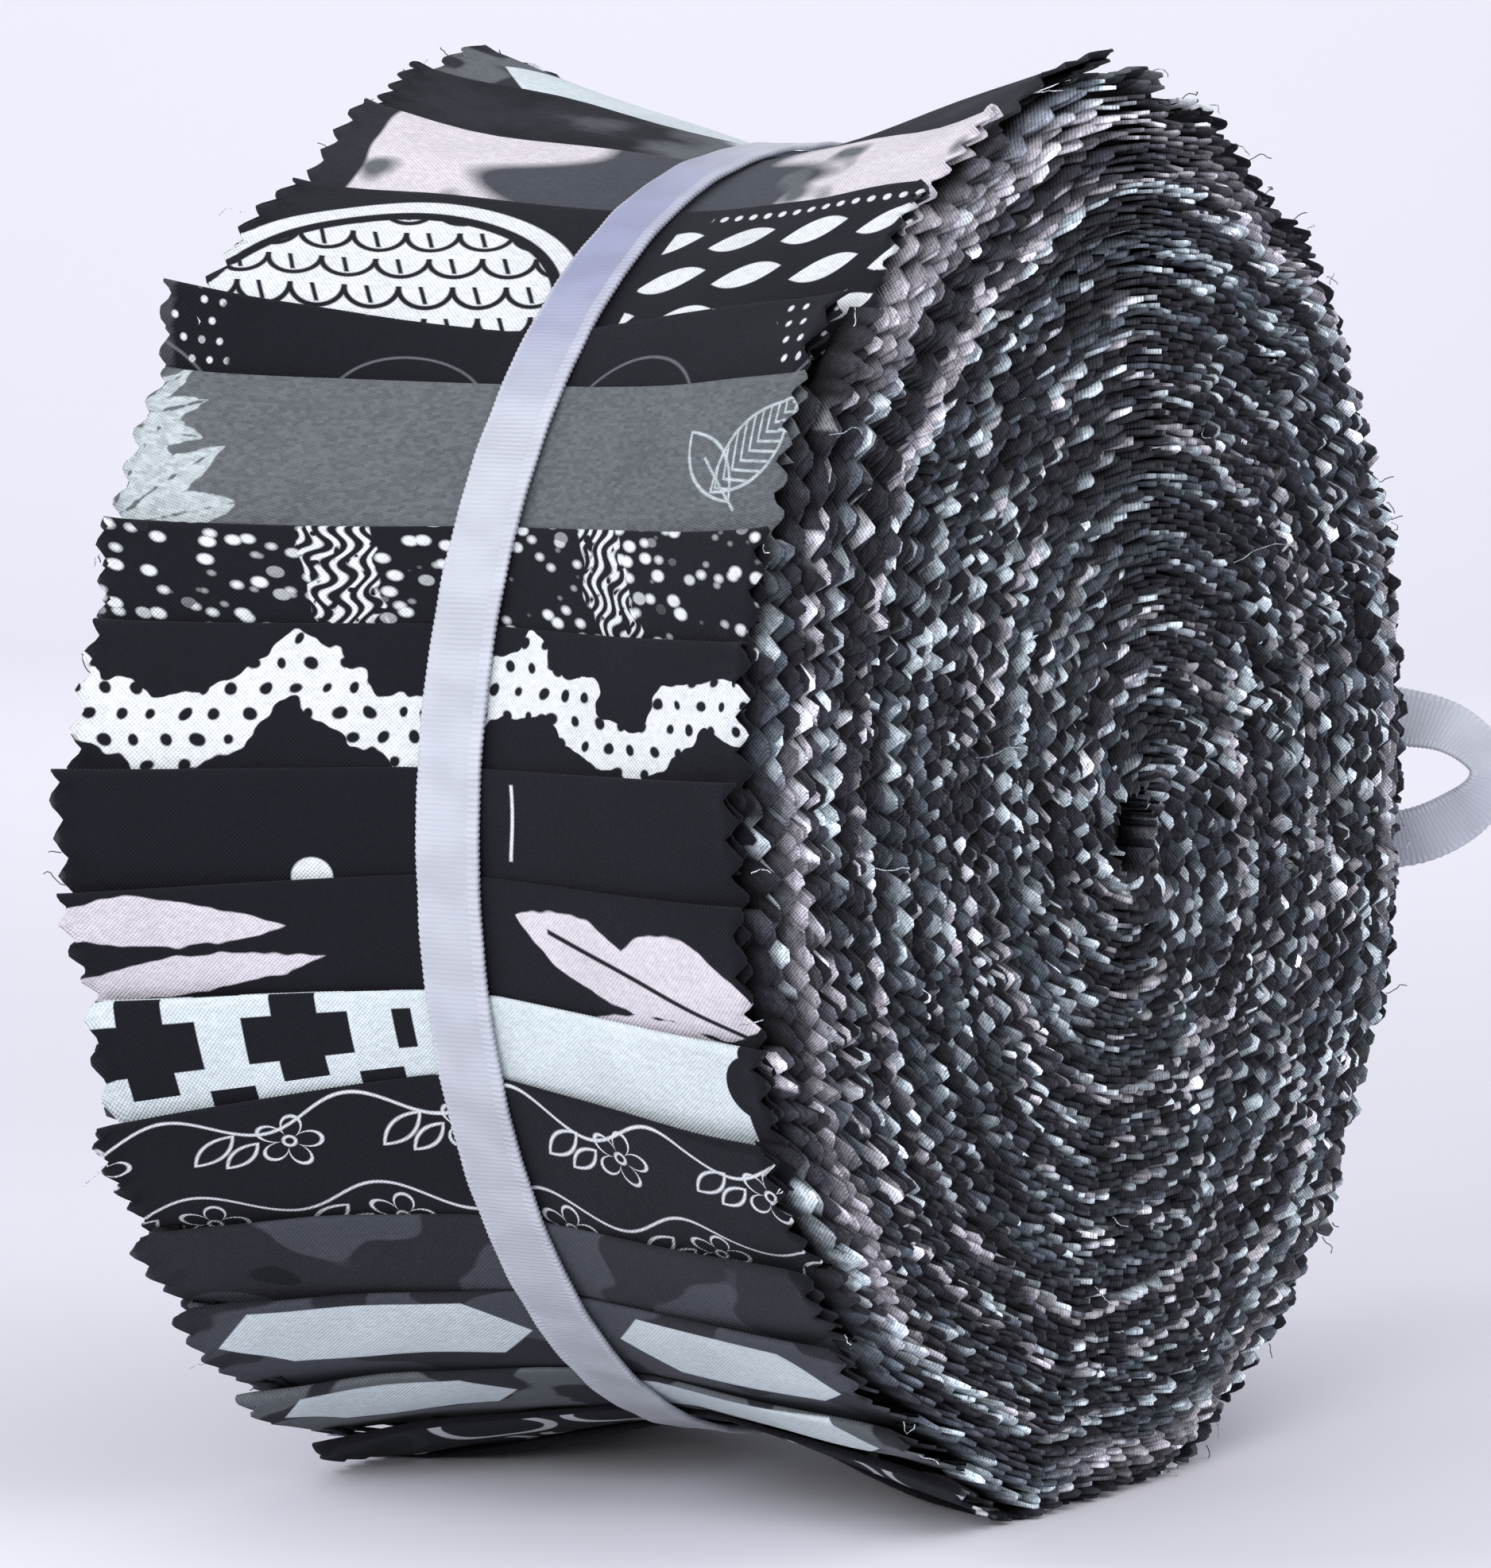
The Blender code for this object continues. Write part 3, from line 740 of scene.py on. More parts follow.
def smoothed(stations, points_per_span):
    """A soft curve through all the stations, as an array with a station's six numbers in a row."""
    given = np.array(stations, float)
    padded_list = np.vstack([2 * given[0] - given[1], given, 2 * given[-1] - given[-2]])
    rows = []
    for spot in range(len(given) - 1):
        before, start, end, after = padded_list[spot : spot + 4]
        last = spot == len(given) - 2
        for share in np.linspace(0.0, 1.0, points_per_span + 1)[: points_per_span + (1 if last else 0)]:
            bend = 2 * before - 5 * start + 4 * end - after
            twist = 3 * start - before - 3 * end + after
            rows.append(start + 0.5 * (share * (end - before) + share**2 * bend + share**3 * twist))
    return np.array(rows)


def ribbon_piece(name, stations, side, slant=0.0, seed=1):
    course = smoothed(stations, 26)
    turn = np.array([side, 1.0, 1.0])
    middle = course[:, :3] * turn
    wide = course[:, 3:] * turn
    ahead = np.gradient(middle, axis=0)
    ahead = ahead / np.linalg.norm(ahead, axis=1, keepdims=True)
    wide = wide - ahead * np.sum(wide * ahead, axis=1, keepdims=True)
    wide = wide / np.linalg.norm(wide, axis=1, keepdims=True)
    normal = np.cross(ahead, wide)
    path = np.concatenate([[0.0], np.cumsum(np.linalg.norm(np.diff(middle, axis=0), axis=1))])
    shares = RIBBON_SHARES[None, :, None]
    half = RIBBON_WIDTH / 2 - 0.08
    at_selvedge = np.sign(shares) * (np.abs(shares) > 0.99)
    picot = 0.07 * np.cos(2 * math.pi * path / PICOT_PITCH)[:, None, None] * at_selvedge
    ripple = 0.12 * wander(path / 5.0, seed)[:, None, None] * shares
    lift = SELVEDGE_LIFT[None, :, None] + ripple
    cut = slant * (path / path[-1])[:, None, None] ** 6 * shares * ahead[:, None, :]
    centre = middle[:, None, :] + wide[:, None, :] * (shares * half + picot) + cut
    outer = centre + normal[:, None, :] * (RIBBON_THICKNESS / 2 + lift)
    inner = (centre - normal[:, None, :] * (RIBBON_THICKNESS / 2 - 0.5 * ripple))[:, ::-1]
    local = np.concatenate([outer, inner], axis=1)
    rows, columns = local.shape[:2]
    points = np.stack([local[..., 1], local[..., 0], local[..., 2]], axis=-1) * MM + np.array(knot_middle)
    across = np.concatenate([RIBBON_SHARES, RIBBON_SHARES[::-1]]) * half
    cloth_map = np.stack(np.broadcast_arrays(across[None, :], path[:, None]), axis=-1)
    numbers = np.arange(rows * columns).reshape(rows, columns)
    wrapped = np.hstack([numbers, numbers[:, :1]])
    faces = np.stack((wrapped[:-1, :-1], wrapped[:-1, 1:], wrapped[1:, 1:], wrapped[1:, :-1]), axis=-1)
    half_count = columns // 2
    caps = []
    for row in (numbers[0], numbers[-1]):
        for spot in range(half_count - 1):
            caps.append([row[spot], row[spot + 1], row[columns - 2 - spot], row[columns - 1 - spot]])
    return mesh_from(name, points, np.vstack([faces.reshape(-1, 4), np.array(caps)]), cloth_map)


loop_front = ribbon_piece("bow_loop_front_satin", LOOP_COURSE, -1.0, seed=11)
loop_back = ribbon_piece("bow_loop_back_satin", LOOP_COURSE, 1.0, seed=12)
end_front = ribbon_piece("ribbon_end_front_satin", FRONT_END_COURSE, -1.0, slant=1.5, seed=13)
end_back = ribbon_piece("ribbon_end_back_satin", BACK_END_COURSE, 1.0, slant=-1.5, seed=14)


# %% The knot
def knot_wrap():
    """The ribbon's last turn round the middle of the bow, creased lengthwise and drawn in at its sides."""
    rows, columns = 72, 33
    angle = np.arange(rows)[:, None] * 2 * math.pi / rows
    share = np.linspace(-1.0, 1.0, columns)[None, :]
    closing = np.clip((np.abs(share) - 0.72) / 0.28, 0.0, 1.0) ** 2
    size = (1.0 - 0.1 * share**2) * (1.0 - 0.75 * closing)
    crease = 0.22 * np.cos(9.5 * share + 0.8 * np.sin(angle + 0.5)) + 0.08 * wander(3 * share + angle, 21)
    out = (2.45 * size + crease * (1 - closing)) * np.cos(angle)
    rise = (4.2 * size + crease * (1 - closing)) * np.sin(angle)
    along = 4.35 * share * (1.0 - 0.12 * closing) + 0.15 * np.sin(2 * angle)
    points = np.stack(np.broadcast_arrays(out, along, rise), axis=-1) * MM + np.array(knot_middle)
    cloth_map = np.stack(np.broadcast_arrays(share * RIBBON_WIDTH / 2, angle * 3.6), axis=-1)
    return mesh_from("bow_knot_satin", points, grid_faces(rows, columns, closed=True), cloth_map)


knot = knot_wrap()
print(len(knot.data.polygons), "faces in the knot")

# %% [markdown]
# ## Loose threads
#
# Pinked cotton still sheds a few threads. They hang from the tips of the teeth round the rim and from
# the wound ends: thin three-sided tubes, all joined in one mesh, as each is only a few millimetres long.

# %% Threads at the pinked edges
THREAD_COUNT = 110
THREAD_POINTS = 7


def thread_points(start, heading, length, dice):
    """Middle line of a thread that starts along its heading and then bends and sags."""
    steps = [np.array(start, float)]
    direction = np.array(heading, float)
    for _ in range(THREAD_POINTS - 1):
        direction = direction + dice.normal(0.0, 0.45, 3) + np.array([0.0, 0.0, -0.12])
        direction = direction / np.linalg.norm(direction)
        steps.append(steps[-1] + direction * length / (THREAD_POINTS - 1))
    return np.array(steps)


def tube(line, thickness):
    ahead = np.gradient(line, axis=0)
    ahead = ahead / np.linalg.norm(ahead, axis=1, keepdims=True)
    first = np.cross(ahead, np.array([0.31, 0.2, 0.93]))
    first = first / np.linalg.norm(first, axis=1, keepdims=True)
    second = np.cross(ahead, first)
    corners = [0.0, 2 * math.pi / 3, 4 * math.pi / 3]
    ring = [line + thickness / 2 * (math.cos(turn) * first + math.sin(turn) * second) for turn in corners]
    return np.stack(ring)


def loose_threads():
    dice = np.random.default_rng(66)
    points, faces, tones, count = [], [], [], 0
    for number in range(THREAD_COUNT):
        side = -1 if number % 5 < 3 else 1
        on_rim = number % 3 > 0
        strip = int(dice.integers(STRIPS))
        layer = dice.uniform(0.1, 0.9) if on_rim else dice.uniform(2.0, 60.0)
        radius, angle, centre_x, centre_z = trace_points(strip, np.array([layer]), side)
        radius = radius + (0.8 if on_rim else 0.2)
        reach = HALF_WIDTH - 0.3 + end_dome(radius) * (0.2 if on_rim else 1.0)
        start = roll_points(radius, angle, side * reach, centre_x, centre_z)[0] / MM
        outward = np.array([math.cos(angle[0]), 0.0, math.sin(angle[0])])
        heading = 0.6 * outward * dice.uniform(0.2, 1.5) + np.array([0.0, side * dice.uniform(0.3, 1.0), 0.0])
        length = dice.uniform(1.0, 2.6) if number % 9 else dice.uniform(4.0, 6.5)
        tubes = tube(thread_points(start, heading, length, dice), 0.11)
        tubes[..., 2] = np.maximum(tubes[..., 2], 0.1)
        points.append(tubes.reshape(-1, 3) * MM)
        faces.append(grid_faces(3, THREAD_POINTS, start=count, closed=True))
        tone = TONES[("mint", "slate", "white", "charcoal")[number % 4]]
        tones.append(np.tile(tone, (3 * THREAD_POINTS, 1)))
        count += 3 * THREAD_POINTS
    cloth_map = np.vstack(points)[:, :2] / MM
    return mesh_from("loose_threads", np.vstack(points), np.vstack(faces), cloth_map, np.vstack(tones))


threads = loose_threads()
print("loose threads:", THREAD_COUNT, "asked for,", len(threads.data.polygons), "faces")

# %% [markdown]
# ## Numbers over the cloth
#
# Woven cloth and its prints are worked out by Math nodes from the cloth map, in millimetres. A small
# class writes those nodes, so that a print reads like a formula. Each shape is a number that is
# above nought inside the motif, and `printed` turns it into an ink mask with a soft edge.

# %% Fields of numbers
class Field:
    """A number that varies over the cloth. Sums of fields become Math nodes."""

    def __init__(self, tree, socket):
        self.tree = tree
        self.socket = socket

    def node(self, operation, *others, clamped=False):
        node = self.tree.nodes.new("ShaderNodeMath")
        node.operation = operation
        node.use_clamp = clamped
        for place, value in enumerate((self, *others)):
            connect(self.tree, value, node.inputs[place])
        return Field(self.tree, node.outputs[0])

    def __add__(self, other):
        return self.node("ADD", other)

    def __sub__(self, other):
        return self.node("SUBTRACT", other)

    def __rsub__(self, other):
        return self * -1.0 + other

    def __mul__(self, other):
        return self.node("MULTIPLY", other)

    def __truediv__(self, other):
        return self.node("DIVIDE", other)

    __radd__ = __add__
    __rmul__ = __mul__

    def floor(self):
        return self.node("FLOOR")

    def size(self):
        return self.node("ABSOLUTE")

    def sine(self):
        return self.node("SINE")

    def below(self, other):
        return self.node("MINIMUM", other)

    def above(self, other):
        return self.node("MAXIMUM", other)

    def power(self, exponent):
        return self.node("POWER", exponent)


def connect(tree, value, socket):
    if isinstance(value, Field):
        tree.links.new(value.socket, socket)
    else:
        socket.default_value = value


def printed(inside, softness=0.16):
    """An ink mask from a field that is above nought inside the motif, with an edge this soft in mm."""
    return (inside / softness + 0.5).node("ADD", 0.0, clamped=True)


def far(x, y):
    return (x * x + y * y).node("SQRT")


def turned(x, y):
    return y.node("ARCTAN2", x)


def place(u, v, third=0.0):
    node = u.tree.nodes.new("ShaderNodeCombineXYZ")
    for spot, value in enumerate((u, v, third)):
        connect(u.tree, value, node.inputs[spot])
    return node.outputs[0]


def cloudy(u, v, size, detail=1.0, seed=0.0):
    """Smooth noise from about -1 to 1, with lumps about this large in mm."""
    node = u.tree.nodes.new("ShaderNodeTexNoise")
    node.inputs["Scale"].default_value = 1.0 / size
    node.inputs["Detail"].default_value = detail
    u.tree.links.new(place(u, v, 17.3 * seed), node.inputs["Vector"])
    return Field(u.tree, node.outputs["Fac"]) * 3.0 - 1.5


def chance(u, v, seed=0.0):
    node = u.tree.nodes.new("ShaderNodeTexWhiteNoise")
    u.tree.links.new(place(u, v, seed), node.inputs["Vector"])
    return Field(u.tree, node.outputs["Value"])


def cells(u, v, wide, high, stagger=0.5, seed=0.0):
    """Repeat a motif: the place in its cell, measured from the middle, and a number drawn for the cell."""
    row = (v / high).floor()
    column_place = u / wide + row * stagger
    column = column_place.floor()
    x = (column_place - column - 0.5) * wide
    y = (v / high - row - 0.5) * high
    return x, y, chance(column, row, seed)


def scattered(u, v, size):
    """Distance to the nearest of many scattered points, in mm, and a number drawn for that point."""
    node = u.tree.nodes.new("ShaderNodeTexVoronoi")
    node.inputs["Scale"].default_value = 1.0 / size
    u.tree.links.new(place(u, v), node.inputs["Vector"])
    split = u.tree.nodes.new("ShaderNodeSeparateColor")
    u.tree.links.new(node.outputs["Color"], split.inputs["Color"])
    return Field(u.tree, node.outputs["Distance"]) * size, Field(u.tree, split.outputs[0])


# %% [markdown]
# ## Motifs
#
# These are common quilting motifs: leaves, flowers, scales, dots, steps and camouflage patches. They are
# drawn here from circles, angles and noise, so each can be moved, scaled or recoloured freely.

# %% Shapes
def line(distance, thickness):
    """Above nought within half the thickness of where the distance is nought."""
    return thickness / 2 - distance.size()


def leaf(x, y, length, width):
    """An almond shaped leaf that lies along x."""
    along = x / (length / 2)
    return (1.0 - along * along) * (width / 2) - y.size()


def flower(x, y, size, petals=5, start=0.0):
    swell = ((turned(x, y) + start) * (petals / 2)).sine().size()
    return size * (0.3 + swell.power(0.7) * 0.7) - far(x, y)


def bar(x, y, length, height):
    """A broad bar with pointed ends."""
    return (height / 2 - y.size()).below(length / 2 - x.size() - y.size() * 0.9)


def joined(*shapes):
    whole = shapes[0]
    for shape in shapes[1:]:
        whole = whole.above(shape)
    return whole


# %% Inks
BLACK = (0.007, 0.007, 0.011)
CHARCOAL = (0.02, 0.02, 0.026)
GREY = (0.11, 0.12, 0.13)
SLATE = (0.055, 0.06, 0.072)
PALE_GREY = (0.42, 0.47, 0.48)
ROSE_WHITE = (0.63, 0.59, 0.63)
MINT_WHITE = (0.6, 0.67, 0.69)
WHITE = (0.66, 0.69, 0.71)
print(f"light sent back: {WHITE[1]:.0%} by white ink, {BLACK[1]:.1%} by black ink")


# %% [markdown]
# Each print takes the place on the cloth, with u across the strip (nought under the ribbon, towards the
# back above nought) and v along it from the fold. It gives a ground colour and its inked shapes in turn.

# %% Prints with clouds and patches
def smoky(u, v):
    haze = cloudy(u, v, 8.0, 3.0, 1)
    waist = 1.0 - u.size() / 16.0
    pale = printed(haze * 0.8 + waist - 0.35, 0.5)
    white = printed(haze + waist - 1.0, 0.4)
    return BLACK, [(CHARCOAL, printed(haze + 0.1, 0.7)), (GREY, pale), (WHITE, white)]


def clouds(u, v):
    drift = cloudy(u * 0.6, v, 11.0, 0.5, 2) + (1.0 - u.size() / 14.0) * 0.9
    blot = cloudy(u, v * 0.8, 8.0, 1.0, 3)
    edge = printed(u - 27.0 + blot, 0.3)
    blots = printed(blot - 0.5, 0.2)
    return ROSE_WHITE, [(SLATE, printed(drift - 0.2, 0.25)), (GREY, blots), (CHARCOAL, edge)]


def dusk(u, v):
    patches = cloudy(u, v * 1.2, 12.0, 1.0, 4)
    return CHARCOAL, [(SLATE, printed(patches - 0.1, 0.05)), (BLACK, printed(-0.5 - patches, 0.05))]


def facets(u, v):
    camouflage = cloudy(u, v * 1.2, 10.0, 1.0, 14)
    back_bar = bar(u - 17.0, v - 5.8 + u * 0.03, 25.0, 9.0)
    front_bar = bar(u + 16.0, v - 5.4 + u * 0.03, 24.0, 9.6)
    pale = joined(back_bar, front_bar)
    return SLATE, [(CHARCOAL, printed(camouflage - 0.05, 0.05)), (MINT_WHITE, printed(pale))]


def patches(u, v):
    camouflage = cloudy(u, v * 1.3, 9.0, 1.0, 15)
    pale = joined(bar(u - 20.0, v - 4.2, 19.0, 7.0), bar(u + 12.0, v - 4.6 - u * 0.05, 30.0, 8.0))
    return CHARCOAL, [(GREY, printed(camouflage, 0.05)), (MINT_WHITE, printed(pale))]


# %% Prints with scales, arcs and steps
def scales(u, v):
    x, y = u - 16.0, v - 18.5
    reach = far(x, y)
    cell_x, cell_y, _ = cells(u + v * 0.35, v - u * 0.12, 4.4, 3.5)
    rib = line(cell_x + cell_y * 0.25, 0.4).below(0.2 - cell_y)
    outline = line(far(cell_x, cell_y + 1.6) - 2.2, 0.5).above(rib)
    fan = (outline * -1.0).below(14.6 - reach).below(u - 3.2)
    arch = line(reach - 16.3, 1.5).below(u - 3.0)
    petal_x, petal_y, draw = cells(u + 1.0, v - 2.6, 8.2, 5.2, 0.37)
    petals = leaf(petal_x, petal_y - petal_x * 0.3, 6.6, 2.9)
    petals = petals.below(-5.0 - u).below(v - 3.0).below(draw * 9.0 - 1.2)
    dot_x, dot_y, _ = cells(u, v, 1.7, 3.6)
    dots = (0.42 - far(dot_x, dot_y)).below(-8.0 - u).below(3.4 - v)
    return BLACK, [(WHITE, printed(joined(fan, arch, petals, dots)))]


def arcs(u, v):
    x, y, draw = cells(u, v, 11.0, 8.0)
    ring = line(far(x, y + 2.0) - 4.4, 1.0)
    return BLACK, [(WHITE, printed(ring.below(draw - 0.25)))]


def steps(u, v):
    x, y, _ = cells(u - 8.0, v + 0.4, 12.5, 7.4, 0.5)
    block = (4.4 - x.size()).below(1.9 - y.size())
    arm = (1.9 - x.size()).below(4.0 - y.size())
    blocks = joined(block, arm).below(u - 4.5)
    end = joined(3.4 - far(u + 30.5, (v - 3.0) * 1.1), -28.8 - u)
    return MINT_WHITE, [(BLACK, printed(joined(blocks, end), 0.1))]


# %% Prints with dots
def sprinkled(u, v):
    x, y, draw = cells(u, v, 1.5, 1.5, 0.5, 3.0)
    cluster = cloudy(u, v, 7.0, 1.0, 5) + (u.size() - 24.0) * 0.12
    dots = (0.26 - far(x, y)).below(draw - 0.35).below(cluster - 0.15)
    wide_x, wide_y, _ = cells(u, v, 23.0, 15.0)
    thread = line(far(wide_x, wide_y - 4.0) - 7.5, 0.24)
    return BLACK, [(GREY, printed(thread)), (WHITE, printed(dots))]


def speckled(u, v):
    distance, draw = scattered(u * 0.62 + v * 0.25, v * 0.9, 1.25)
    drops = (0.4 - distance).below(draw * 0.8 - 0.1)
    sway = (v * 2.2 + (u * 0.4).sine() * 2.0).sine() * 0.5
    row = (u + sway + cloudy(u, v, 4.0, 1.0, 6) * 0.8) / 1.25
    where = line(u - 13.0 + v * 0.35, 5.5).above(line(u + 12.0 + v * 0.5, 4.5)) + cloudy(u, v, 3.0, 1.0, 7)
    broken = cloudy(u, v, 1.1, 1.0, 12) + 0.35
    squiggles = ((0.22 - (row - row.floor() - 0.5).size()) * 1.25).below(where).below(broken)
    drops = drops.below(0.3 - where)
    return BLACK, [(WHITE, printed(joined(drops, squiggles), 0.2))]


def spotted(u, v):
    course = (u * 0.3 + 0.6).sine() * 2.2 + cloudy(u, v, 5.0, 1.0, 8) * 1.6
    blob = (2.7 + cloudy(u, v, 4.0, 2.0, 9) * 1.9) - (v - 6.6 - course).size()
    x, y, draw = cells(u + cloudy(u, v, 3.0, 0.0, 13) * 0.5, v, 2.5, 2.0)
    dots = draw * 0.2 + 0.38 - far(x, y)
    return BLACK, [(WHITE, printed(blob)), (BLACK, printed(dots))]


# %% Prints with leaves and flowers
def frosted(u, v):
    ragged = cloudy(u, v, 1.2, 2.0, 10)
    fans = []
    for base_u, base_v, length, lean in ((32.0, 14.0, 11.0, 0.0), (33.0, 5.5, 7.0, 0.3)):
        for turn in (-1.3, -0.75, -0.25, 0.25, 0.75):
            across, along = math.cos(turn + lean), math.sin(turn + lean)
            x = (base_u - u) * across + (v - base_v) * along
            y = (v - base_v) * across - (base_u - u) * along
            blade = leaf(x - length / 2, y, length, length * 0.33)
            fans.append(blade.below(y.size() - 0.16 + x * 0.02))
    back_leaf = (joined(*fans) + ragged * 0.35).below(ragged + 1.0)
    leaf_x, leaf_y = (u + 27.0) * 0.75 + (v - 6.0) * 0.66, (v - 6.0) * 0.75 - (u + 27.0) * 0.66
    outline = line(leaf(leaf_x, leaf_y, 11.0, 5.0), 0.3)
    ribs = leaf_x + leaf_y.size() * 0.9
    ribs = line((ribs / 1.1 - (ribs / 1.1).floor() - 0.5) * 1.1, 0.3).below(leaf(leaf_x, leaf_y, 11.0, 5.0))
    second_vein = line(leaf_x - 4.5, 0.25).below(3.0 - leaf_y.size())
    second = joined(line(leaf(leaf_y + 2.0, leaf_x - 4.5, 8.0, 3.6), 0.3), second_vein)
    return GREY, [(PALE_GREY, printed(joined(back_leaf, outline, ribs, second)))]


def moons(u, v):
    moon = (1.7 - far(u - 12.0, v - 9.0)).below(9.2 - v)
    stalk = line(u + 6.4 + (v * 0.5).sine() * 0.25, 0.35).below(v - 1.0).below(7.5 - v)
    x, y, draw = cells(u + 9.0, v, 21.0, 19.0)
    return BLACK, [(WHITE, printed(joined(moon, stalk, (1.2 - far(x, y)).below(draw - 0.8))))]


def petals(u, v):
    wave = cloudy(u, v, 3.0, 1.0, 11) * 0.5
    back_leaf = joined(
        leaf(u - 25.0, v - 2.6 + (u - 25.0) * 0.1, 21.0, 4.6),
        leaf(u - 24.0, v - 8.2 - (u - 24.0) * 0.12, 25.0, 3.8),
    )
    front_leaf = joined(
        leaf(u + 15.0, v - 5.5 + (u + 15.0) * 0.35, 17.0, 6.0),
        leaf(u + 24.5, v - 6.0 + (u + 24.5) * 0.2, 15.0, 7.5),
        leaf(u + 20.0, v - 10.5, 14.0, 3.0),
    )
    veins = line(v - 6.2 + (u + 19.0) * 0.3, 0.45).below(-10.0 - u)
    return BLACK, [(ROSE_WHITE, printed(joined(back_leaf, front_leaf) + wave)), (BLACK, printed(veins))]


def vines(u, v):
    x, y, draw = cells(u + 4.0, v + 0.5, 15.5, 9.5, 0.42, 2.0)
    bloom = line(flower(x + 2.5, y, 2.7, 5), 0.32)
    heart = line(far(x + 2.5, y) - 0.5, 0.25)
    sprig_x, sprig_y = (x - 3.6) * 0.8 + y * 0.6, y * 0.8 - (x - 3.6) * 0.6
    lower_leaf = line(leaf(sprig_x + 1.0, sprig_y - 2.0, 3.8, 1.5), 0.28)
    sprig = joined(line(leaf(sprig_x, sprig_y, 4.6, 1.8), 0.28), lower_leaf)
    vine = line(y + 2.6 - (u * 0.42).sine() * 1.5, 0.3)
    return BLACK, [(WHITE, printed(joined(bloom, heart, sprig, vine).below(draw * 9.0 - 0.4)))]


# %% [markdown]
# ## Cotton
#
# Printed cotton is matt, with a faint sheen from its fluff. Its plain weave is a chequer of tiny humps
# about a third of a millimetre apart, which breaks up light and print a little. Ink, fluff and worn
# threads at the pinked edge all vary softly.

# %% Woven threads
THREAD_PITCH = 0.36


def weave(u, v, pitch=THREAD_PITCH, twill=0.0):
    """Height of the threads, from -1 to 1."""
    turn = 2 * math.pi / pitch
    lengthwise = ((u + v * twill) * turn).sine()
    crosswise = ((v - u * twill) * turn).sine()
    return lengthwise * crosswise


def cloth_place(tree):
    map_node = tree.nodes.new("ShaderNodeUVMap")
    map_node.uv_map = "cloth_map"
    split = tree.nodes.new("ShaderNodeSeparateXYZ")
    tree.links.new(map_node.outputs["UV"], split.inputs["Vector"])
    return Field(tree, split.outputs["X"]), Field(tree, split.outputs["Y"])


def colour_times(tree, colour, factor):
    node = tree.nodes.new("ShaderNodeVectorMath")
    node.operation = "SCALE"
    tree.links.new(colour, node.inputs[0])
    connect(tree, factor, node.inputs["Scale"])
    return node.outputs[0]


def colour_socket(sockets, name):
    """The one socket of that name which takes a colour, as the mix node also has number sockets."""
    return [socket for socket in sockets if socket.name == name and socket.type == "RGBA"][0]


def inked(tree, ground, inks):
    """Lay each ink over the ground by its mask."""
    colour = None
    for ink, mask in inks:
        mix = tree.nodes.new("ShaderNodeMix")
        mix.data_type = "RGBA"
        connect(tree, mask, mix.inputs["Factor"])
        under = colour_socket(mix.inputs, "A")
        if colour is None:
            under.default_value = (*ground, 1.0)
        else:
            tree.links.new(colour, under)
        colour_socket(mix.inputs, "B").default_value = (*ink, 1.0)
        colour = colour_socket(mix.outputs, "Result")
    return colour


def dress_cotton(material, colour, u, v, twill=0.0, heather=0.1, contrast=0.2, relief=0.00007):
    tree = material.node_tree
    shader = tree.nodes["Principled BSDF"]
    threads = weave(u, v, twill=twill)
    fluff = cloudy(u, v, 0.5, 3.0, 20)
    row = (v / (THREAD_PITCH * 0.8)).floor()
    single = chance((u / 0.55 + row * 0.37).floor(), row, 5.0) - 0.5
    woven = threads * contrast + fluff * (contrast * 0.7)
    shade = 1.0 + woven + single * heather + cloudy(u, v, 6.0, 2.0, 21) * 0.08
    tree.links.new(colour_times(tree, colour, shade), shader.inputs["Base Color"])
    shader.inputs["Roughness"].default_value = 0.88
    shader.inputs["Sheen Weight"].default_value = 0.05
    shader.inputs["Sheen Roughness"].default_value = 0.5
    shader.inputs["Sheen Tint"].default_value = (0.75, 0.8, 0.9, 1.0)
    shader.inputs["Specular IOR Level"].default_value = 0.15
    bump = tree.nodes.new("ShaderNodeBump")
    bump.inputs["Strength"].default_value = 0.6
    bump.inputs["Distance"].default_value = relief
    connect(tree, threads + fluff * 0.7, bump.inputs["Height"])
    tree.links.new(bump.outputs["Normal"], shader.inputs["Normal"])


def cotton(name, design, twill=0.0):
    material = plain_material("cotton_" + name, CHARCOAL, 0.88)
    tree = material.node_tree
    u, v = cloth_place(tree)
    ground, inks = design(u, v)
    worn = printed(cloudy(u, v, 0.6, 2.0, 22) * 0.3 + (u.size() - 31.6), 0.5) * 0.4
    dress_cotton(material, inked(tree, ground, inks + [(GREY, worn)]), u, v, twill, 0.1 + 0.5 * twill)
    return material


PRINTS = {
    "smoky": smoky,
    "clouds": clouds,
    "scales": scales,
    "sprinkled": sprinkled,
    "frosted": frosted,
    "speckled": speckled,
    "spotted": spotted,
    "moons": moons,
    "petals": petals,
    "steps": steps,
    "vines": vines,
    "dusk": dusk,
    "facets": facets,
    "patches": patches,
    "arcs": arcs,
}
cottons = {name: cotton(name, design, 0.5 if name == "frosted" else 0.0) for name, design in PRINTS.items()}
for number, (piece, _) in enumerate(bands):
    piece.data.materials.append(cottons[FOLDS[number].cloth])
print(len(cottons), "printed cottons")


# %% The turns' cotton
def cotton_of_turns():
    material = plain_material("cotton_of_turns", CHARCOAL, 0.88)
    tree = material.node_tree
    u, v = cloth_place(tree)
    # The tone attribute holds the print colours of the turns, with the painted shade and light of their
    # teeth.
    tone = tree.nodes.new("ShaderNodeAttribute")
    tone.attribute_name = "tone"
    dress_cotton(material, tone.outputs["Color"], u, v, heather=0.5, contrast=0.45, relief=0.00012)
    return material


turns_cotton = cotton_of_turns()
for piece in (front_end, back_end, threads):
    piece.data.materials.append(turns_cotton)
# The drum is painted near black, as shade of the deep turns.
drum.data.materials.append(plain_material("painted_shade_of_turns", (0.01, 0.01, 0.012), 0.95))

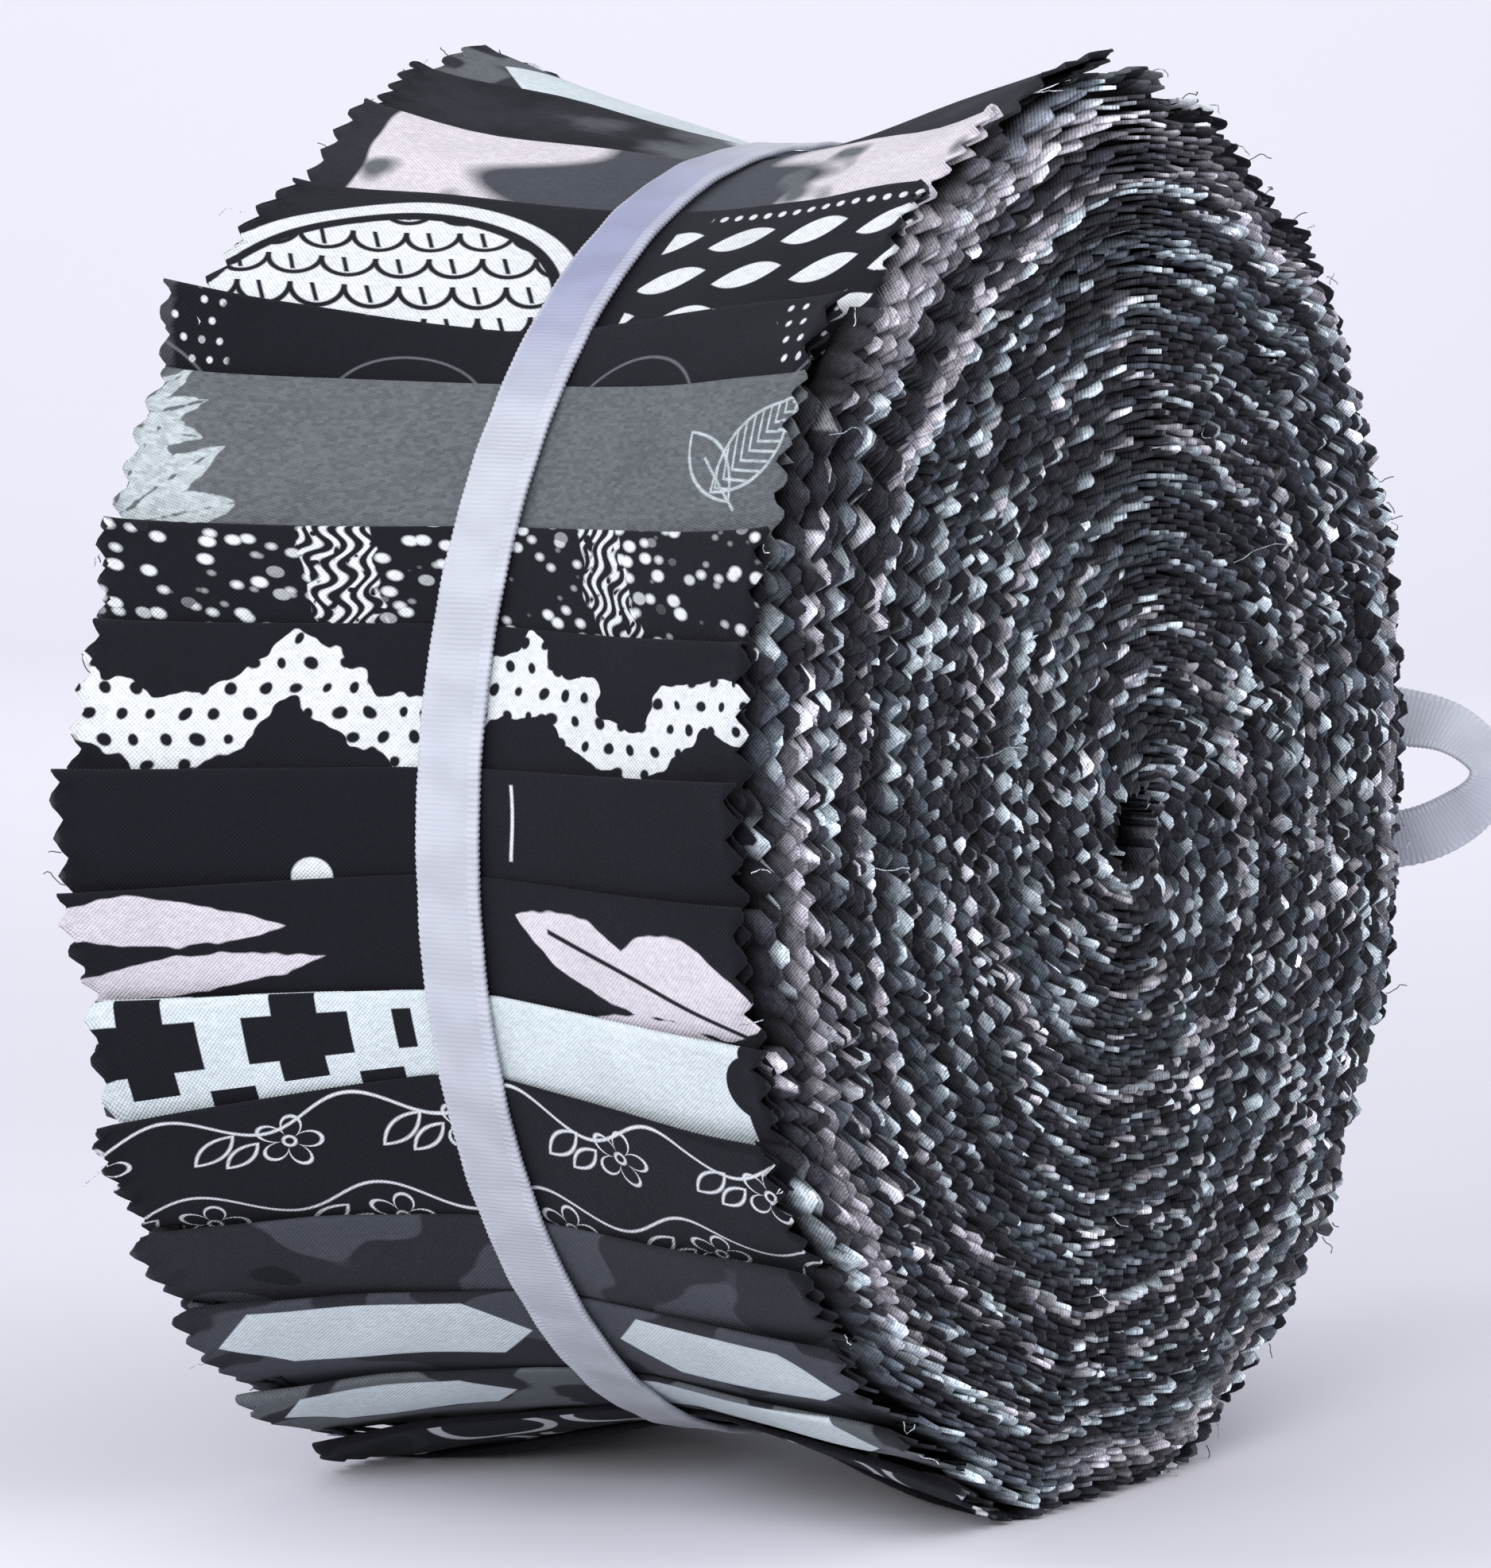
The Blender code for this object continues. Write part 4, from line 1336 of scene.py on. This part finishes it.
# %% [markdown]
# ## Satin
#
# Satin floats its threads over many others, so it shines along one direction. Fine ribs run across the
# ribbon, and light slides over them in soft waves. The selvedges are woven closer and shine less, and
# some light comes through the thin cloth, which keeps the bow's loops pale against the wall.

# %% Ribbon's satin
def satin():
    material = plain_material("satin", (0.5, 0.53, 0.6), 0.36)
    tree = material.node_tree
    shader = tree.nodes["Principled BSDF"]
    u, v = cloth_place(tree)
    ribs = (v * (2 * math.pi / 0.42)).sine()
    selvedge = printed(u.size() - (RIBBON_WIDTH / 2 - 0.08 - SELVEDGE), 0.1)
    loops = (v * (2 * math.pi / PICOT_PITCH)).sine() * selvedge
    moire = (v * 0.9 + cloudy(u, v, 4.0, 1.0, 30) * 2.5).sine()
    fine = ribs * 0.015 + moire * 0.05 + cloudy(u, v, 12.0, 2.0, 31) * 0.07
    shade = 0.97 + fine + selvedge * 0.08 + loops * 0.08
    # Painted reflection: the ring's stretch about 118 mm along it, over the roll's top, is painted a darker
    # lavender, where the satin reflects the dim room above rather than the lamps.
    dim_reflection_reach = (v - 118.0) / 24.0
    painted_dim_reflection = (1.0 - dim_reflection_reach * dim_reflection_reach).above(0.0) * (1.0 - selvedge * 0.6)
    colour = inked(tree, (0.58, 0.605, 0.66), [((0.38, 0.4, 0.58), painted_dim_reflection)])
    tree.links.new(colour_times(tree, colour, shade), shader.inputs["Base Color"])
    connect(tree, 0.34 + selvedge * 0.22 + moire * 0.05, shader.inputs["Roughness"])
    shader.inputs["Anisotropic"].default_value = 0.5
    shader.inputs["Sheen Weight"].default_value = 0.25
    shader.inputs["Sheen Roughness"].default_value = 0.35
    bump = tree.nodes.new("ShaderNodeBump")
    bump.inputs["Strength"].default_value = 0.5
    bump.inputs["Distance"].default_value = 0.00005
    connect(tree, ribs * 0.4 + loops + cloudy(u, v, 0.35, 2.0, 32) * 0.5, bump.inputs["Height"])
    tree.links.new(bump.outputs["Normal"], shader.inputs["Normal"])
    glow = tree.nodes.new("ShaderNodeBsdfTranslucent")
    glow.inputs["Color"].default_value = (0.8, 0.82, 0.88, 1.0)
    blend = tree.nodes.new("ShaderNodeMixShader")
    blend.inputs["Fac"].default_value = 0.3
    output = tree.nodes["Material Output"]
    tree.links.new(shader.outputs["BSDF"], blend.inputs[1])
    tree.links.new(glow.outputs["BSDF"], blend.inputs[2])
    tree.links.new(blend.outputs["Shader"], output.inputs["Surface"])
    return material


ribbon_satin = satin()
satin_pieces = (ribbon, knot, loop_front, loop_back, end_front, end_back)
for piece in satin_pieces:
    piece.data.materials.append(ribbon_satin)
print(len(satin_pieces), "pieces of satin ribbon")

# %% [markdown]
# ## Tie the pieces to the solid model
#
# The bands, the wound ends and the inside stand for the one solid of wound strips, and each satin piece
# for the ribbon's solid of the same shape. The bands are declared as folded sheets with their flat
# cut, as far as it is modelled.

# %% Pieces and their solids
cotton_pieces = [piece for piece, _ in bands] + [front_end, back_end, threads, drum]
for piece in cotton_pieces:
    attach(piece, "root")
    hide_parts("wound_strips")
SATIN_NODES = (
    "ribbon_band",
    "ribbon_knot",
    "bow_loop_front",
    "bow_loop_back",
    "ribbon_tail_front",
    "ribbon_tail_back",
)
for piece, node in zip(satin_pieces, SATIN_NODES):
    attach(piece, "root")
    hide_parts(node)
